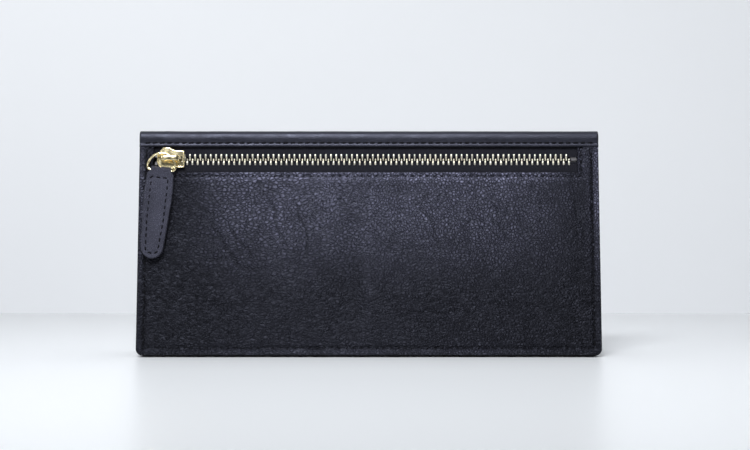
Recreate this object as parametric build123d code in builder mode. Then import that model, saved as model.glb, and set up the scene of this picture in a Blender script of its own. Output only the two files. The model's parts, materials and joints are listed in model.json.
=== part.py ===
"""Long bi-fold leather wallet with a zipped pocket on its front, standing open like a tent.

Millimetres. +X runs along the fold to the right, +Y to the back, +Z up. The origin is at the
middle of the floor area that the open wallet covers. Each leaf is a stack of sheets. A sheet's
depth is measured inwards from the leaf's outer face, and its height is measured from the fold
line, so everything on a leaf lies at a negative height.
"""
import os
from math import cos, radians, sin

from build123d import *

# Overall size
WIDTH = 190.0
FRONT_LENGTH = 92.0         # fold line to the front leaf's lower edge
LEAN = 7.5                  # each leaf's angle from upright
CORNER = 2.5                # radius of the leaves' lower corners
CLOSED_GAP = 0.5            # between the two inner faces when the wallet is shut

# Sheet thicknesses
LEATHER = 1.2
BOARD = 0.6
TAPE = 0.5
LINING = 0.3
INNER_SKIN = 0.8
CARD_SKIN = 0.7
ZIP_POCKET = 2.1
NOTE_POCKET = 0.8

# Depths in the front leaf
HINGE_DEPTH = LEATHER / 2
PANEL_DEPTH = 0.6           # the pebbled panel lies this far under the band
TAPE_DEPTH = PANEL_DEPTH + LEATHER
POCKET_DEPTH = TAPE_DEPTH + TAPE
POCKET_BACK_DEPTH = POCKET_DEPTH + ZIP_POCKET
FRONT_BOARD_DEPTH = POCKET_BACK_DEPTH + LINING
FRONT_BASE_DEPTH = FRONT_BOARD_DEPTH + BOARD
FRONT_CARD_DEPTH = FRONT_BASE_DEPTH + INNER_SKIN
FRONT_THICKNESS = FRONT_CARD_DEPTH + 3 * CARD_SKIN

# Depths in the rear leaf
REAR_BOARD_DEPTH = LEATHER
REAR_LINING_DEPTH = REAR_BOARD_DEPTH + BOARD
NOTE_DEPTH = REAR_LINING_DEPTH + LINING
REAR_BASE_DEPTH = NOTE_DEPTH + NOTE_POCKET
REAR_CARD_DEPTH = REAR_BASE_DEPTH + INNER_SKIN
REAR_THICKNESS = REAR_CARD_DEPTH + 3 * CARD_SKIN

# Heights on the leaves, from the fold line
COVER_TOP = -0.9            # outer leather, clear of the spine's round edge
INNER_TOP = -1.8            # all sheets inside it
BAND_FOOT = -5.93
NOTE_MOUTH = -6.3
CARD_MOUTHS = {"upper": -16.0, "middle": -28.0, "lower": -40.0}
CARD_MARGIN = 4.0           # the divider stitching stops this far above the lower edge
SPINE_LINING = 0.45
SPINE_LINING_INSET = 0.9
WELT = 5.0
TOP_WELT_FOOT = -5.0
STIFFENER_INSET = 0.5       # band's foot to its stiffener's

# Zip window and zip, along X and from the fold line
WINDOW_LEFT = -88.9
WINDOW_RIGHT = 86.2
WINDOW_FOOT = -16.55
CHAIN_HEIGHT = -11.2
CHAIN_HALF = 2.33           # chain centre to a tooth's outer end
TAPE_EDGE = 1.0             # chain centre to a tape's beaded edge
TAPE_LEFT = -91.3
TAPE_RIGHT = 88.6
TAPE_TOP = -2.2
TAPE_FOOT = -22.0
TAPE_PLAY = 0.2             # between a tape's outline and the lining beside it
TOOTH_PITCH = 2.165
TOOTH_COUNT = 77            # in each row
TOOTH_WIDTH = 0.95
TOOTH_REACH = 0.75          # past the chain centre
TOOTH_DEPTH = 1.05
TOOTH_THICKNESS = 2.0
LAST_TOOTH = 82.8           # rightmost tooth of the lower row
STOP_OVERLAP = 0.05         # a top stop reaches this far past its tape's edge
CLAMP_PAST = 1.0            # a clamping slot runs this far past the chain's outer edge
TOP_STOP_LEFT = -88.5
TOP_STOP_RIGHT = -86.5
BOTTOM_STOP_LEFT = 83.5
BOTTOM_STOP_RIGHT = 85.9

# Stitching
EDGE_INSET = 3.0
SEAM_CORNER = 3.0
WINDOW_SEAM = 1.6           # from the window's edge
BAND_SEAM = -4.42
BAND_SEAM_INSET = 1.5
SEAM_TOP = -7.5
GROOVE_WIDTH = 0.7
GROOVE_DEPTH = 0.4
THREAD_WIDTH = 0.6
THREAD_DEPTH = 0.35
RUN_GAP = 0.3               # from a step of the card slots to the divider's nearest stitch

# Slider, along X and from the chain centre
NOSE = -87.6
TAIL = -76.2
SLIDER_PLATE = 0.9
SLIDER_FACE = 0.0           # depth of its outer face
NOSE_HALF = 1.5
CHEEK_HALF = 3.3
SHOULDER_HALF = 4.85
NECK_HALF = 3.5
CHEEK = NOSE + 1.2
SHOULDER_START = NOSE + 2.6
SHOULDER_STOP = NOSE + 5.4
NECK_START = NOSE + 7.4
SLIDER_CORNER = 0.5
FLANGE = 0.75
FLANGE_LEFT = -84.4
FLANGE_RIGHT = TAIL - 1.0
FLANGE_REACH = 0.75
LOWER_PLATE_DEPTH = 3.2
DIAMOND_LEFT = -87.0
DIAMOND_RIGHT = -83.6
DIAMOND_HALF = 0.9
DIAMOND_FLAT_START = DIAMOND_LEFT + 0.8
DIAMOND_FLAT_STOP = DIAMOND_LEFT + 1.8
SLOT_LEFT = -78.05
SLOT_RIGHT = -76.95
SLOT_HALF = 1.25

# Bridge cap and lock spring
CAP_LEFT = -86.1
CAP_RIGHT = -78.1
CAP_HALF = 0.95
CAP_LEG = 0.95
CAP_ROUNDING = 0.25
CAP_UNDERSIDE = -2.6
CAP_TOP = -3.6
RECESS_HALF = 0.6
RECESS_DEPTH = 0.6
SPRING_HALF = 0.5
SPRING_TOP = -3.05
SPRING_THICKNESS = 0.3
PIN_LEFT = CAP_RIGHT + 0.15
PIN_RIGHT = -77.3
PIN_TIP = 0.95

# Ring and puller, in the puller's own plane, from the middle of the ring's straight side
PULL_DEPTH = -1.75
PULL_X = -85.55
PULL_HEIGHT = -16.25
PULL_TILT = 5.5
WIRE = 1.0
RING_RADIUS = 5.7
RING_CORNER = 1.5
LOOP_PLAY = 0.1
PULLER_SKIN = 0.9
PULLER_FILLER = 0.8
PULLER_END = -36.6
NECK_WIDTH = 8.2
NECK_OVERLAP = 2.0          # the neck runs this far down into the blade
SHOULDER_TOP = -1.3
BLADE_HALF = 5.5
TIP_RADIUS = 4.45
TIP_TURN = 8.0              # the sides lean in by this much where the round end begins
FILLER_TOP = -1.8
PULLER_SEAM_INSET = 1.9
PULLER_SEAM_TOP = -3.2

HALF = WIDTH / 2
LEAN_SIN = sin(radians(LEAN))
LEAN_COS = cos(radians(LEAN))
FOLD_HEIGHT = FRONT_LENGTH * LEAN_COS + (FRONT_THICKNESS - HINGE_DEPTH) * LEAN_SIN
REAR_LENGTH = (FOLD_HEIGHT - (REAR_THICKNESS - HINGE_DEPTH) * LEAN_SIN) / LEAN_COS
SPINE_SPAN = FRONT_THICKNESS + REAR_THICKNESS + CLOSED_GAP - 2 * HINGE_DEPTH
FRONT_FOLD_Y = -(SPINE_SPAN + (REAR_LENGTH - FRONT_LENGTH) * LEAN_SIN + PANEL_DEPTH * LEAN_COS) / 2
REAR_FOLD_Y = FRONT_FOLD_Y + SPINE_SPAN

# +Z of each leaf's plane points out of the wallet, and its +Y points up along the leaf
FRONT = Plane(origin=(0, FRONT_FOLD_Y, FOLD_HEIGHT), x_dir=(1, 0, 0), z_dir=(0, -LEAN_COS, LEAN_SIN))
REAR = Plane(origin=(0, REAR_FOLD_Y, FOLD_HEIGHT), x_dir=(-1, 0, 0), z_dir=(0, LEAN_COS, LEAN_SIN))


def front(depth):
    """Plane across the front leaf at a depth below its outer face."""
    return FRONT.offset(HINGE_DEPTH - depth)


def rear(depth):
    """Plane across the rear leaf at a depth below its outer face."""
    return REAR.offset(HINGE_DEPTH - depth)


def leaf_sheet(plane, length, top, foot=None, left=-HALF, right=HALF):
    """Face with the leaf's outline, rounded at its lower corners, cropped to the given sides."""
    bottom = -length if foot is None else foot
    with BuildSketch(plane) as sheet:
        with Locations((0, (top - length) / 2)):
            Rectangle(WIDTH, top + length)
        fillet(sheet.vertices().sort_by(Axis.Y)[:2], CORNER)
        with Locations(((left + right) / 2, (top + bottom) / 2)):
            Rectangle(right - left, top - bottom, mode=Mode.INTERSECT)
    return sheet.sketch


def strip(plane, left, right, foot, top):
    """Plain rectangle between two places along the fold and two heights."""
    with BuildSketch(plane) as sheet:
        with Locations(((left + right) / 2, (top + foot) / 2)):
            Rectangle(right - left, top - foot)
    return sheet.sketch


def seam(plane, corners, width):
    """Ribbon along a line of stitches, rounded where the line turns."""
    with BuildSketch(plane) as ribbon:
        with BuildLine():
            if len(corners) > 2:
                FilletPolyline(*corners, radius=SEAM_CORNER)
            else:
                Line(*corners)
        trace(line_width=width)
    return ribbon.sketch


def cut_groove(plane_at, face_depth, corners):
    """Stitching groove, sunk into the part being built."""
    floor = plane_at(face_depth + GROOVE_DEPTH)
    extrude(seam(floor, corners, GROOVE_WIDTH), amount=GROOVE_DEPTH, mode=Mode.SUBTRACT)


def lay_thread(plane_at, face_depth, corners):
    """Thread along the floor of a stitching groove."""
    floor = plane_at(face_depth + GROOVE_DEPTH)
    extrude(seam(floor, corners, THREAD_WIDTH), amount=THREAD_DEPTH)


pieces = {}

# Lines of stitching, as corner points on a leaf
front_edge_line = [
    (EDGE_INSET - HALF, SEAM_TOP),
    (EDGE_INSET - HALF, EDGE_INSET - FRONT_LENGTH),
    (HALF - EDGE_INSET, EDGE_INSET - FRONT_LENGTH),
    (HALF - EDGE_INSET, SEAM_TOP),
]
rear_edge_line = [
    (EDGE_INSET - HALF, SEAM_TOP),
    (EDGE_INSET - HALF, EDGE_INSET - REAR_LENGTH),
    (HALF - EDGE_INSET, EDGE_INSET - REAR_LENGTH),
    (HALF - EDGE_INSET, SEAM_TOP),
]
window_line = [
    (WINDOW_LEFT - WINDOW_SEAM, SEAM_TOP),
    (WINDOW_LEFT - WINDOW_SEAM, WINDOW_FOOT - WINDOW_SEAM),
    (WINDOW_RIGHT + WINDOW_SEAM, WINDOW_FOOT - WINDOW_SEAM),
    (WINDOW_RIGHT + WINDOW_SEAM, SEAM_TOP),
]
band_line = [(BAND_SEAM_INSET - HALF, BAND_SEAM), (HALF - BAND_SEAM_INSET, BAND_SEAM)]

# ---------------------------------------------------------------- front leaf: outside

with BuildPart() as front_band:
    extrude(strip(front(LEATHER), -HALF, HALF, BAND_FOOT, COVER_TOP), amount=LEATHER)
    cut_groove(front, 0, band_line)
pieces["front_band"] = front_band

with BuildPart() as band_thread:
    lay_thread(front, 0, band_line)
pieces["band_thread"] = band_thread

with BuildPart() as band_stiffener:
    stiffener_face = strip(front(TAPE_DEPTH), -HALF, HALF, BAND_FOOT + STIFFENER_INSET, INNER_TOP)
    extrude(stiffener_face, amount=TAPE_DEPTH - LEATHER)
pieces["band_stiffener"] = band_stiffener

with BuildPart() as front_pocket_panel:
    extrude(leaf_sheet(front(TAPE_DEPTH), FRONT_LENGTH, BAND_FOOT), amount=LEATHER)
    window = strip(front(TAPE_DEPTH), WINDOW_LEFT, WINDOW_RIGHT, WINDOW_FOOT, 0)
    extrude(window, amount=LEATHER, mode=Mode.SUBTRACT)
    cut_groove(front, PANEL_DEPTH, front_edge_line)
    cut_groove(front, PANEL_DEPTH, window_line)
pieces["front_pocket_panel"] = front_pocket_panel

with BuildPart() as front_perimeter_thread:
    lay_thread(front, PANEL_DEPTH, front_edge_line)
pieces["front_perimeter_thread"] = front_perimeter_thread

with BuildPart() as zip_window_thread:
    lay_thread(front, PANEL_DEPTH, window_line)
pieces["zip_window_thread"] = zip_window_thread

# ---------------------------------------------------------------- zip

with BuildPart() as zip_tape_upper:
    upper_edge = CHAIN_HEIGHT + TAPE_EDGE
    extrude(strip(front(POCKET_DEPTH), TAPE_LEFT, TAPE_RIGHT, upper_edge, TAPE_TOP), amount=TAPE)
pieces["zip_tape_upper"] = zip_tape_upper

with BuildPart() as zip_tape_lower:
    lower_edge = CHAIN_HEIGHT - TAPE_EDGE
    extrude(strip(front(POCKET_DEPTH), TAPE_LEFT, TAPE_RIGHT, TAPE_FOOT, lower_edge), amount=TAPE)
pieces["zip_tape_lower"] = zip_tape_lower


def tooth_row(last_x, side):
    """Row of teeth clamped on one tape: side is 1 above the chain centre and -1 below it."""
    tooth_length = CHAIN_HALF + TOOTH_REACH
    tooth_middle = CHAIN_HEIGHT + side * (CHAIN_HALF - TOOTH_REACH) / 2
    row_span = (TOOTH_COUNT - 1) * TOOTH_PITCH
    with BuildSketch(front(TOOTH_DEPTH + TOOTH_THICKNESS)) as row:
        with Locations((last_x - row_span / 2, tooth_middle)):
            with GridLocations(TOOTH_PITCH, 1, TOOTH_COUNT, 1):
                Rectangle(TOOTH_WIDTH, tooth_length)
    extrude(row.sketch, amount=TOOTH_THICKNESS)
    clamp_tape(last_x - row_span - TOOTH_PITCH, last_x + TOOTH_PITCH, side)


def clamp_tape(left, right, side):
    """Slot that lets the part being built grip a tape's edge."""
    edge = CHAIN_HEIGHT + side * TAPE_EDGE
    beyond = CHAIN_HEIGHT + side * (CHAIN_HALF + CLAMP_PAST)
    grip = strip(front(POCKET_DEPTH), left, right, min(edge, beyond), max(edge, beyond))
    extrude(grip, amount=TAPE, mode=Mode.SUBTRACT)


with BuildPart() as zip_teeth_lower:
    tooth_row(LAST_TOOTH, -1)
pieces["zip_teeth_lower"] = zip_teeth_lower

with BuildPart() as zip_teeth_upper:
    tooth_row(LAST_TOOTH - TOOTH_PITCH / 2, 1)
pieces["zip_teeth_upper"] = zip_teeth_upper

with BuildPart() as zip_top_stops:
    for side in (-1, 1):
        near = CHAIN_HEIGHT + side * (TAPE_EDGE - STOP_OVERLAP)
        far = CHAIN_HEIGHT + side * CHAIN_HALF
        stop = strip(front(TOOTH_DEPTH + TOOTH_THICKNESS), TOP_STOP_LEFT, TOP_STOP_RIGHT,
                     min(near, far), max(near, far))
        extrude(stop, amount=TOOTH_THICKNESS)
        clamp_tape(TOP_STOP_LEFT, TOP_STOP_RIGHT, side)
pieces["zip_top_stops"] = zip_top_stops

with BuildPart() as zip_bottom_stop:
    ridge_half = TAPE_EDGE / 2
    ridge = strip(front(TAPE_DEPTH), BOTTOM_STOP_LEFT, BOTTOM_STOP_RIGHT,
                  CHAIN_HEIGHT - ridge_half, CHAIN_HEIGHT + ridge_half)
    extrude(ridge, amount=TAPE_DEPTH - TOOTH_DEPTH)
    core = strip(front(POCKET_DEPTH), BOTTOM_STOP_LEFT, BOTTOM_STOP_RIGHT,
                 CHAIN_HEIGHT - TAPE_EDGE, CHAIN_HEIGHT + TAPE_EDGE)
    extrude(core, amount=TAPE)
pieces["zip_bottom_stop"] = zip_bottom_stop

# ---------------------------------------------------------------- front leaf: zip pocket and inside

with BuildPart() as front_pocket_lining:
    extrude(leaf_sheet(front(POCKET_DEPTH), FRONT_LENGTH, INNER_TOP), amount=TAPE)
    tape_bay = strip(front(POCKET_DEPTH), TAPE_LEFT - TAPE_PLAY, TAPE_RIGHT + TAPE_PLAY,
                     TAPE_FOOT - TAPE_PLAY, 0)
    extrude(tape_bay, amount=TAPE, mode=Mode.SUBTRACT)
pieces["front_pocket_lining"] = front_pocket_lining

pocket_welts = {
    "pocket_welt_left": (-HALF, WELT - HALF, -FRONT_LENGTH, INNER_TOP),
    "pocket_welt_right": (HALF - WELT, HALF, -FRONT_LENGTH, INNER_TOP),
    "pocket_welt_bottom": (WELT - HALF, HALF - WELT, -FRONT_LENGTH, WELT - FRONT_LENGTH),
    "pocket_welt_top": (WELT - HALF, HALF - WELT, TOP_WELT_FOOT, INNER_TOP),
}
for name, (left, right, foot, top) in pocket_welts.items():
    with BuildPart() as pocket_welt:
        welt_face = leaf_sheet(front(POCKET_BACK_DEPTH), FRONT_LENGTH, top, foot, left, right)
        extrude(welt_face, amount=ZIP_POCKET)
    pieces[name] = pocket_welt

with BuildPart() as pocket_lining_back:
    extrude(leaf_sheet(front(FRONT_BOARD_DEPTH), FRONT_LENGTH, INNER_TOP), amount=LINING)
pieces["pocket_lining_back"] = pocket_lining_back

with BuildPart() as front_board:
    extrude(leaf_sheet(front(FRONT_BASE_DEPTH), FRONT_LENGTH, INNER_TOP), amount=BOARD)
pieces["front_board"] = front_board

with BuildPart() as front_inner_base:
    extrude(leaf_sheet(front(FRONT_CARD_DEPTH), FRONT_LENGTH, INNER_TOP), amount=INNER_SKIN)
pieces["front_inner_base"] = front_inner_base


def divider_runs(length):
    """Visible stretch of the divider's stitches on each card slot: slot number, foot and top."""
    mouths = list(CARD_MOUTHS.values())
    feet = mouths[1:] + [CARD_MARGIN - length]
    return [(number, feet[number], mouths[number]) for number in range(len(mouths))]


def card_slot(plane_at, length, card_depth, number, mouth):
    """One stepped card slot of a leaf, with the divider's groove down its middle."""
    inner_depth = card_depth + (number + 1) * CARD_SKIN
    extrude(leaf_sheet(plane_at(inner_depth), length, mouth), amount=CARD_SKIN)
    for run, foot, top in divider_runs(length):
        if run == number:
            groove = seam(plane_at(inner_depth), [(0, foot), (0, top)], GROOVE_WIDTH)
            extrude(groove, amount=GROOVE_DEPTH, mode=Mode.SUBTRACT)


def divider_thread(plane_at, length, card_depth):
    """Thread between the left and right card slots of a leaf, one run for each step."""
    for number, foot, top in divider_runs(length):
        floor_depth = card_depth + (number + 1) * CARD_SKIN - GROOVE_DEPTH + THREAD_DEPTH
        run_ends = [(0, foot + RUN_GAP), (0, top - RUN_GAP)]
        extrude(seam(plane_at(floor_depth), run_ends, THREAD_WIDTH), amount=THREAD_DEPTH)


for number, (place, mouth) in enumerate(CARD_MOUTHS.items()):
    with BuildPart() as front_card_slot:
        card_slot(front, FRONT_LENGTH, FRONT_CARD_DEPTH, number, mouth)
    pieces[f"front_card_slot_{place}"] = front_card_slot

with BuildPart() as front_slot_divider_thread:
    divider_thread(front, FRONT_LENGTH, FRONT_CARD_DEPTH)
pieces["front_slot_divider_thread"] = front_slot_divider_thread

# ---------------------------------------------------------------- spine

with BuildPart() as spine_leather:
    with BuildSketch(Plane.YZ.offset(-HALF)):
        with Locations((FRONT_FOLD_Y + SPINE_SPAN / 2, FOLD_HEIGHT)):
            SlotCenterToCenter(SPINE_SPAN, LEATHER)
    extrude(amount=WIDTH)
pieces["spine_leather"] = spine_leather

with BuildPart() as spine_lining:
    with BuildSketch(Plane.YZ.offset(-HALF)):
        with Locations((FRONT_FOLD_Y + SPINE_SPAN / 2, FOLD_HEIGHT - HINGE_DEPTH - SPINE_LINING / 2)):
            Rectangle(SPINE_SPAN - 2 * SPINE_LINING_INSET, SPINE_LINING)
    extrude(amount=WIDTH)
pieces["spine_lining"] = spine_lining

# ---------------------------------------------------------------- rear leaf

with BuildPart() as rear_cover:
    extrude(leaf_sheet(rear(LEATHER), REAR_LENGTH, COVER_TOP), amount=LEATHER)
    cut_groove(rear, 0, rear_edge_line)
pieces["rear_cover"] = rear_cover

with BuildPart() as rear_perimeter_thread:
    lay_thread(rear, 0, rear_edge_line)
pieces["rear_perimeter_thread"] = rear_perimeter_thread

with BuildPart() as rear_board:
    extrude(leaf_sheet(rear(REAR_LINING_DEPTH), REAR_LENGTH, INNER_TOP), amount=BOARD)
pieces["rear_board"] = rear_board

with BuildPart() as rear_lining:
    extrude(leaf_sheet(rear(NOTE_DEPTH), REAR_LENGTH, INNER_TOP), amount=LINING)
pieces["rear_lining"] = rear_lining

note_welts = {
    "note_welt_left": (-HALF, WELT - HALF, -REAR_LENGTH, NOTE_MOUTH),
    "note_welt_right": (HALF - WELT, HALF, -REAR_LENGTH, NOTE_MOUTH),
    "note_welt_bottom": (WELT - HALF, HALF - WELT, -REAR_LENGTH, WELT - REAR_LENGTH),
}
for name, (left, right, foot, top) in note_welts.items():
    with BuildPart() as note_welt:
        welt_face = leaf_sheet(rear(REAR_BASE_DEPTH), REAR_LENGTH, top, foot, left, right)
        extrude(welt_face, amount=NOTE_POCKET)
    pieces[name] = note_welt

with BuildPart() as rear_inner_base:
    extrude(leaf_sheet(rear(REAR_CARD_DEPTH), REAR_LENGTH, NOTE_MOUTH), amount=INNER_SKIN)
pieces["rear_inner_base"] = rear_inner_base

for number, (place, mouth) in enumerate(CARD_MOUTHS.items()):
    with BuildPart() as rear_card_slot:
        card_slot(rear, REAR_LENGTH, REAR_CARD_DEPTH, number, mouth)
    pieces[f"rear_card_slot_{place}"] = rear_card_slot

with BuildPart() as rear_slot_divider_thread:
    divider_thread(rear, REAR_LENGTH, REAR_CARD_DEPTH)
pieces["rear_slot_divider_thread"] = rear_slot_divider_thread

# ---------------------------------------------------------------- slider


def slider_outline(plane):
    """Plate of the slider: blunt nose, wide shoulders, straight tail."""
    upper_side = [
        (NOSE, NOSE_HALF),
        (CHEEK, CHEEK_HALF),
        (SHOULDER_START, SHOULDER_HALF),
        (SHOULDER_STOP, SHOULDER_HALF),
        (NECK_START, NECK_HALF),
        (TAIL, NECK_HALF),
    ]
    lower_side = [(x, -rise) for x, rise in reversed(upper_side)]
    with BuildSketch(plane) as plate:
        with Locations((0, CHAIN_HEIGHT)):
            Polygon(*upper_side, *lower_side, align=None)
        fillet(plate.vertices(), SLIDER_CORNER)
    return plate.sketch


def slider_flanges(plane):
    """The two side walls that hold the rows of teeth together, as faces."""
    with BuildSketch(plane) as walls:
        add(slider_outline(Plane.XY))
        offset(slider_outline(Plane.XY), amount=-FLANGE, mode=Mode.SUBTRACT)
        with Locations(((FLANGE_LEFT + FLANGE_RIGHT) / 2, CHAIN_HEIGHT)):
            Rectangle(FLANGE_RIGHT - FLANGE_LEFT, 4 * SHOULDER_HALF, mode=Mode.INTERSECT)
    return walls.sketch


with BuildPart() as slider_body:
    extrude(slider_outline(front(SLIDER_FACE + SLIDER_PLATE)), amount=SLIDER_PLATE)
    extrude(slider_outline(front(LOWER_PLATE_DEPTH + SLIDER_PLATE)), amount=SLIDER_PLATE)
    extrude(slider_flanges(front(SLIDER_FACE + SLIDER_PLATE + FLANGE_REACH)), amount=FLANGE_REACH)
    extrude(slider_flanges(front(LOWER_PLATE_DEPTH)), amount=FLANGE_REACH)
    with BuildSketch(front(LOWER_PLATE_DEPTH)) as diamond:
        with Locations((0, CHAIN_HEIGHT)):
            Polygon((DIAMOND_LEFT, 0), (DIAMOND_FLAT_START, -DIAMOND_HALF),
                    (DIAMOND_FLAT_STOP, -DIAMOND_HALF), (DIAMOND_RIGHT, 0),
                    (DIAMOND_FLAT_STOP, DIAMOND_HALF), (DIAMOND_FLAT_START, DIAMOND_HALF), align=None)
    extrude(diamond.sketch, amount=LOWER_PLATE_DEPTH - SLIDER_FACE - SLIDER_PLATE)
    pin_window = strip(front(SLIDER_FACE + SLIDER_PLATE), SLOT_LEFT, SLOT_RIGHT,
                       CHAIN_HEIGHT - SLOT_HALF, CHAIN_HEIGHT + SLOT_HALF)
    extrude(pin_window, amount=SLIDER_PLATE, mode=Mode.SUBTRACT)
pieces["slider_body"] = slider_body

with BuildPart() as slider_cap:
    cap_foot = CHAIN_HEIGHT - CAP_HALF
    cap_head = CHAIN_HEIGHT + CAP_HALF
    extrude(strip(front(CAP_UNDERSIDE), CAP_LEFT, CAP_RIGHT, cap_foot, cap_head),
            amount=CAP_UNDERSIDE - CAP_TOP)
    for leg_left in (CAP_LEFT, CAP_RIGHT - CAP_LEG):
        leg = strip(front(SLIDER_FACE), leg_left, leg_left + CAP_LEG, cap_foot, cap_head)
        extrude(leg, amount=SLIDER_FACE - CAP_UNDERSIDE)
    recess = strip(front(CAP_UNDERSIDE), CAP_LEFT + CAP_LEG / 2, CAP_RIGHT,
                   CHAIN_HEIGHT - RECESS_HALF, CHAIN_HEIGHT + RECESS_HALF)
    extrude(recess, amount=RECESS_DEPTH, mode=Mode.SUBTRACT)
    fillet(slider_cap.edges().group_by(SortBy.LENGTH)[-1].filter_by(Axis.X), CAP_ROUNDING)
pieces["slider_cap"] = slider_cap

with BuildPart() as slider_lock_spring:
    spring_foot = CHAIN_HEIGHT - SPRING_HALF
    spring_head = CHAIN_HEIGHT + SPRING_HALF
    leaf = strip(front(SPRING_TOP + SPRING_THICKNESS), CAP_LEFT + CAP_LEG, PIN_RIGHT,
                 spring_foot, spring_head)
    extrude(leaf, amount=SPRING_THICKNESS)
    pin = strip(front(PIN_TIP), PIN_LEFT, PIN_RIGHT, spring_foot, spring_head)
    extrude(pin, amount=PIN_TIP - SPRING_TOP)
pieces["slider_lock_spring"] = slider_lock_spring

# ---------------------------------------------------------------- ring and puller

PULL = Plane(
    origin=front(PULL_DEPTH).from_local_coords((PULL_X, PULL_HEIGHT, 0)),
    x_dir=FRONT.x_dir * cos(radians(PULL_TILT)) - FRONT.y_dir * sin(radians(PULL_TILT)),
    z_dir=FRONT.z_dir,
)
STRAIGHT_HALF = RING_RADIUS - RING_CORNER
LOOP_INSIDE = WIRE / 2 + LOOP_PLAY
LOOP_OUTSIDE = LOOP_INSIDE + PULLER_SKIN
PULLER_HALF = PULLER_FILLER / 2 + PULLER_SKIN

with BuildPart() as pull_ring:
    with BuildLine(PULL) as ring_path:
        Line((-STRAIGHT_HALF, 0), (STRAIGHT_HALF, 0))
        CenterArc((STRAIGHT_HALF, RING_CORNER), RING_CORNER, -90, 90)
        CenterArc((0, RING_CORNER), RING_RADIUS, 0, 180)
        CenterArc((-STRAIGHT_HALF, RING_CORNER), RING_CORNER, 180, 90)
    wire_start = PULL.from_local_coords((-STRAIGHT_HALF, 0, 0))
    with BuildSketch(Plane(origin=wire_start, z_dir=PULL.x_dir)) as wire_section:
        Circle(WIRE / 2)
    sweep(wire_section.sketch, path=ring_path.line)
pieces["pull_ring"] = pull_ring

TIP_CENTRE = PULLER_END + TIP_RADIUS


def puller_blade(plane, top, inset=0.0):
    """Face of the puller's broad part below a height, shrunk by an inset."""
    radius = TIP_RADIUS - inset
    turn = radians(TIP_TURN)
    with BuildSketch(plane) as blade:
        with BuildLine():
            tip_start = (radius * cos(turn), TIP_CENTRE - radius * sin(turn))
            flank = TangentArc(tip_start, (BLADE_HALF - inset, top), tangent=(sin(turn), cos(turn)))
            CenterArc((0, TIP_CENTRE), radius, -TIP_TURN, TIP_TURN - 90)
            Line(flank @ 1, (0, top))
            mirror(about=Plane.YZ)
        make_face()
    return blade.sketch


def puller_seam(plane, width):
    """Closed ribbon of stitches, parallel to the puller's edge."""
    half = width / 2
    with BuildSketch(plane) as ribbon:
        add(puller_blade(Plane.XY, PULLER_SEAM_TOP + half, PULLER_SEAM_INSET - half))
        add(puller_blade(Plane.XY, PULLER_SEAM_TOP - half, PULLER_SEAM_INSET + half), mode=Mode.SUBTRACT)
    return ribbon.sketch


# floor of the stitching groove on each face of the puller, and the way out of it
puller_grooves = [
    (PULL.offset(PULLER_HALF - GROOVE_DEPTH), 1),
    (PULL.offset(GROOVE_DEPTH - PULLER_HALF), -1),
]

with BuildPart() as puller_leather:
    with BuildSketch(Plane(origin=PULL.origin, x_dir=PULL.y_dir, z_dir=PULL.x_dir)) as fold_profile:
        Circle(LOOP_OUTSIDE)
        with Locations((PULLER_END / 2, 0)):
            Rectangle(-PULLER_END, 2 * PULLER_HALF)
        Circle(LOOP_INSIDE, mode=Mode.SUBTRACT)
        with Locations((PULLER_END / 2, 0)):
            Rectangle(-PULLER_END, PULLER_FILLER, mode=Mode.SUBTRACT)
    extrude(fold_profile.sketch, amount=4 * NECK_WIDTH, both=True)
    with BuildSketch(PULL) as puller_outline:
        add(puller_blade(Plane.XY, SHOULDER_TOP))
        neck_foot = SHOULDER_TOP - NECK_OVERLAP
        with Locations((0, (LOOP_OUTSIDE + neck_foot) / 2)):
            Rectangle(NECK_WIDTH, LOOP_OUTSIDE - neck_foot)
    extrude(puller_outline.sketch, amount=2 * LOOP_OUTSIDE, both=True, mode=Mode.INTERSECT)
    for floor, way in puller_grooves:
        extrude(puller_seam(floor, GROOVE_WIDTH), amount=way * GROOVE_DEPTH, mode=Mode.SUBTRACT)
pieces["puller_leather"] = puller_leather

with BuildPart() as puller_filler:
    extrude(puller_blade(PULL.offset(-PULLER_FILLER / 2), FILLER_TOP), amount=PULLER_FILLER)
pieces["puller_filler"] = puller_filler

with BuildPart() as puller_thread:
    for floor, way in puller_grooves:
        extrude(puller_seam(floor, THREAD_WIDTH), amount=way * THREAD_DEPTH)
pieces["puller_thread"] = puller_thread

os.makedirs("parts", exist_ok=True)
for name, piece in pieces.items():
    piece.part.label = name
    export_step(piece.part, f"parts/{name}.step")
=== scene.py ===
import json
import math

import bmesh
import bpy
import numpy as np
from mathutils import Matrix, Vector, noise


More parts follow.
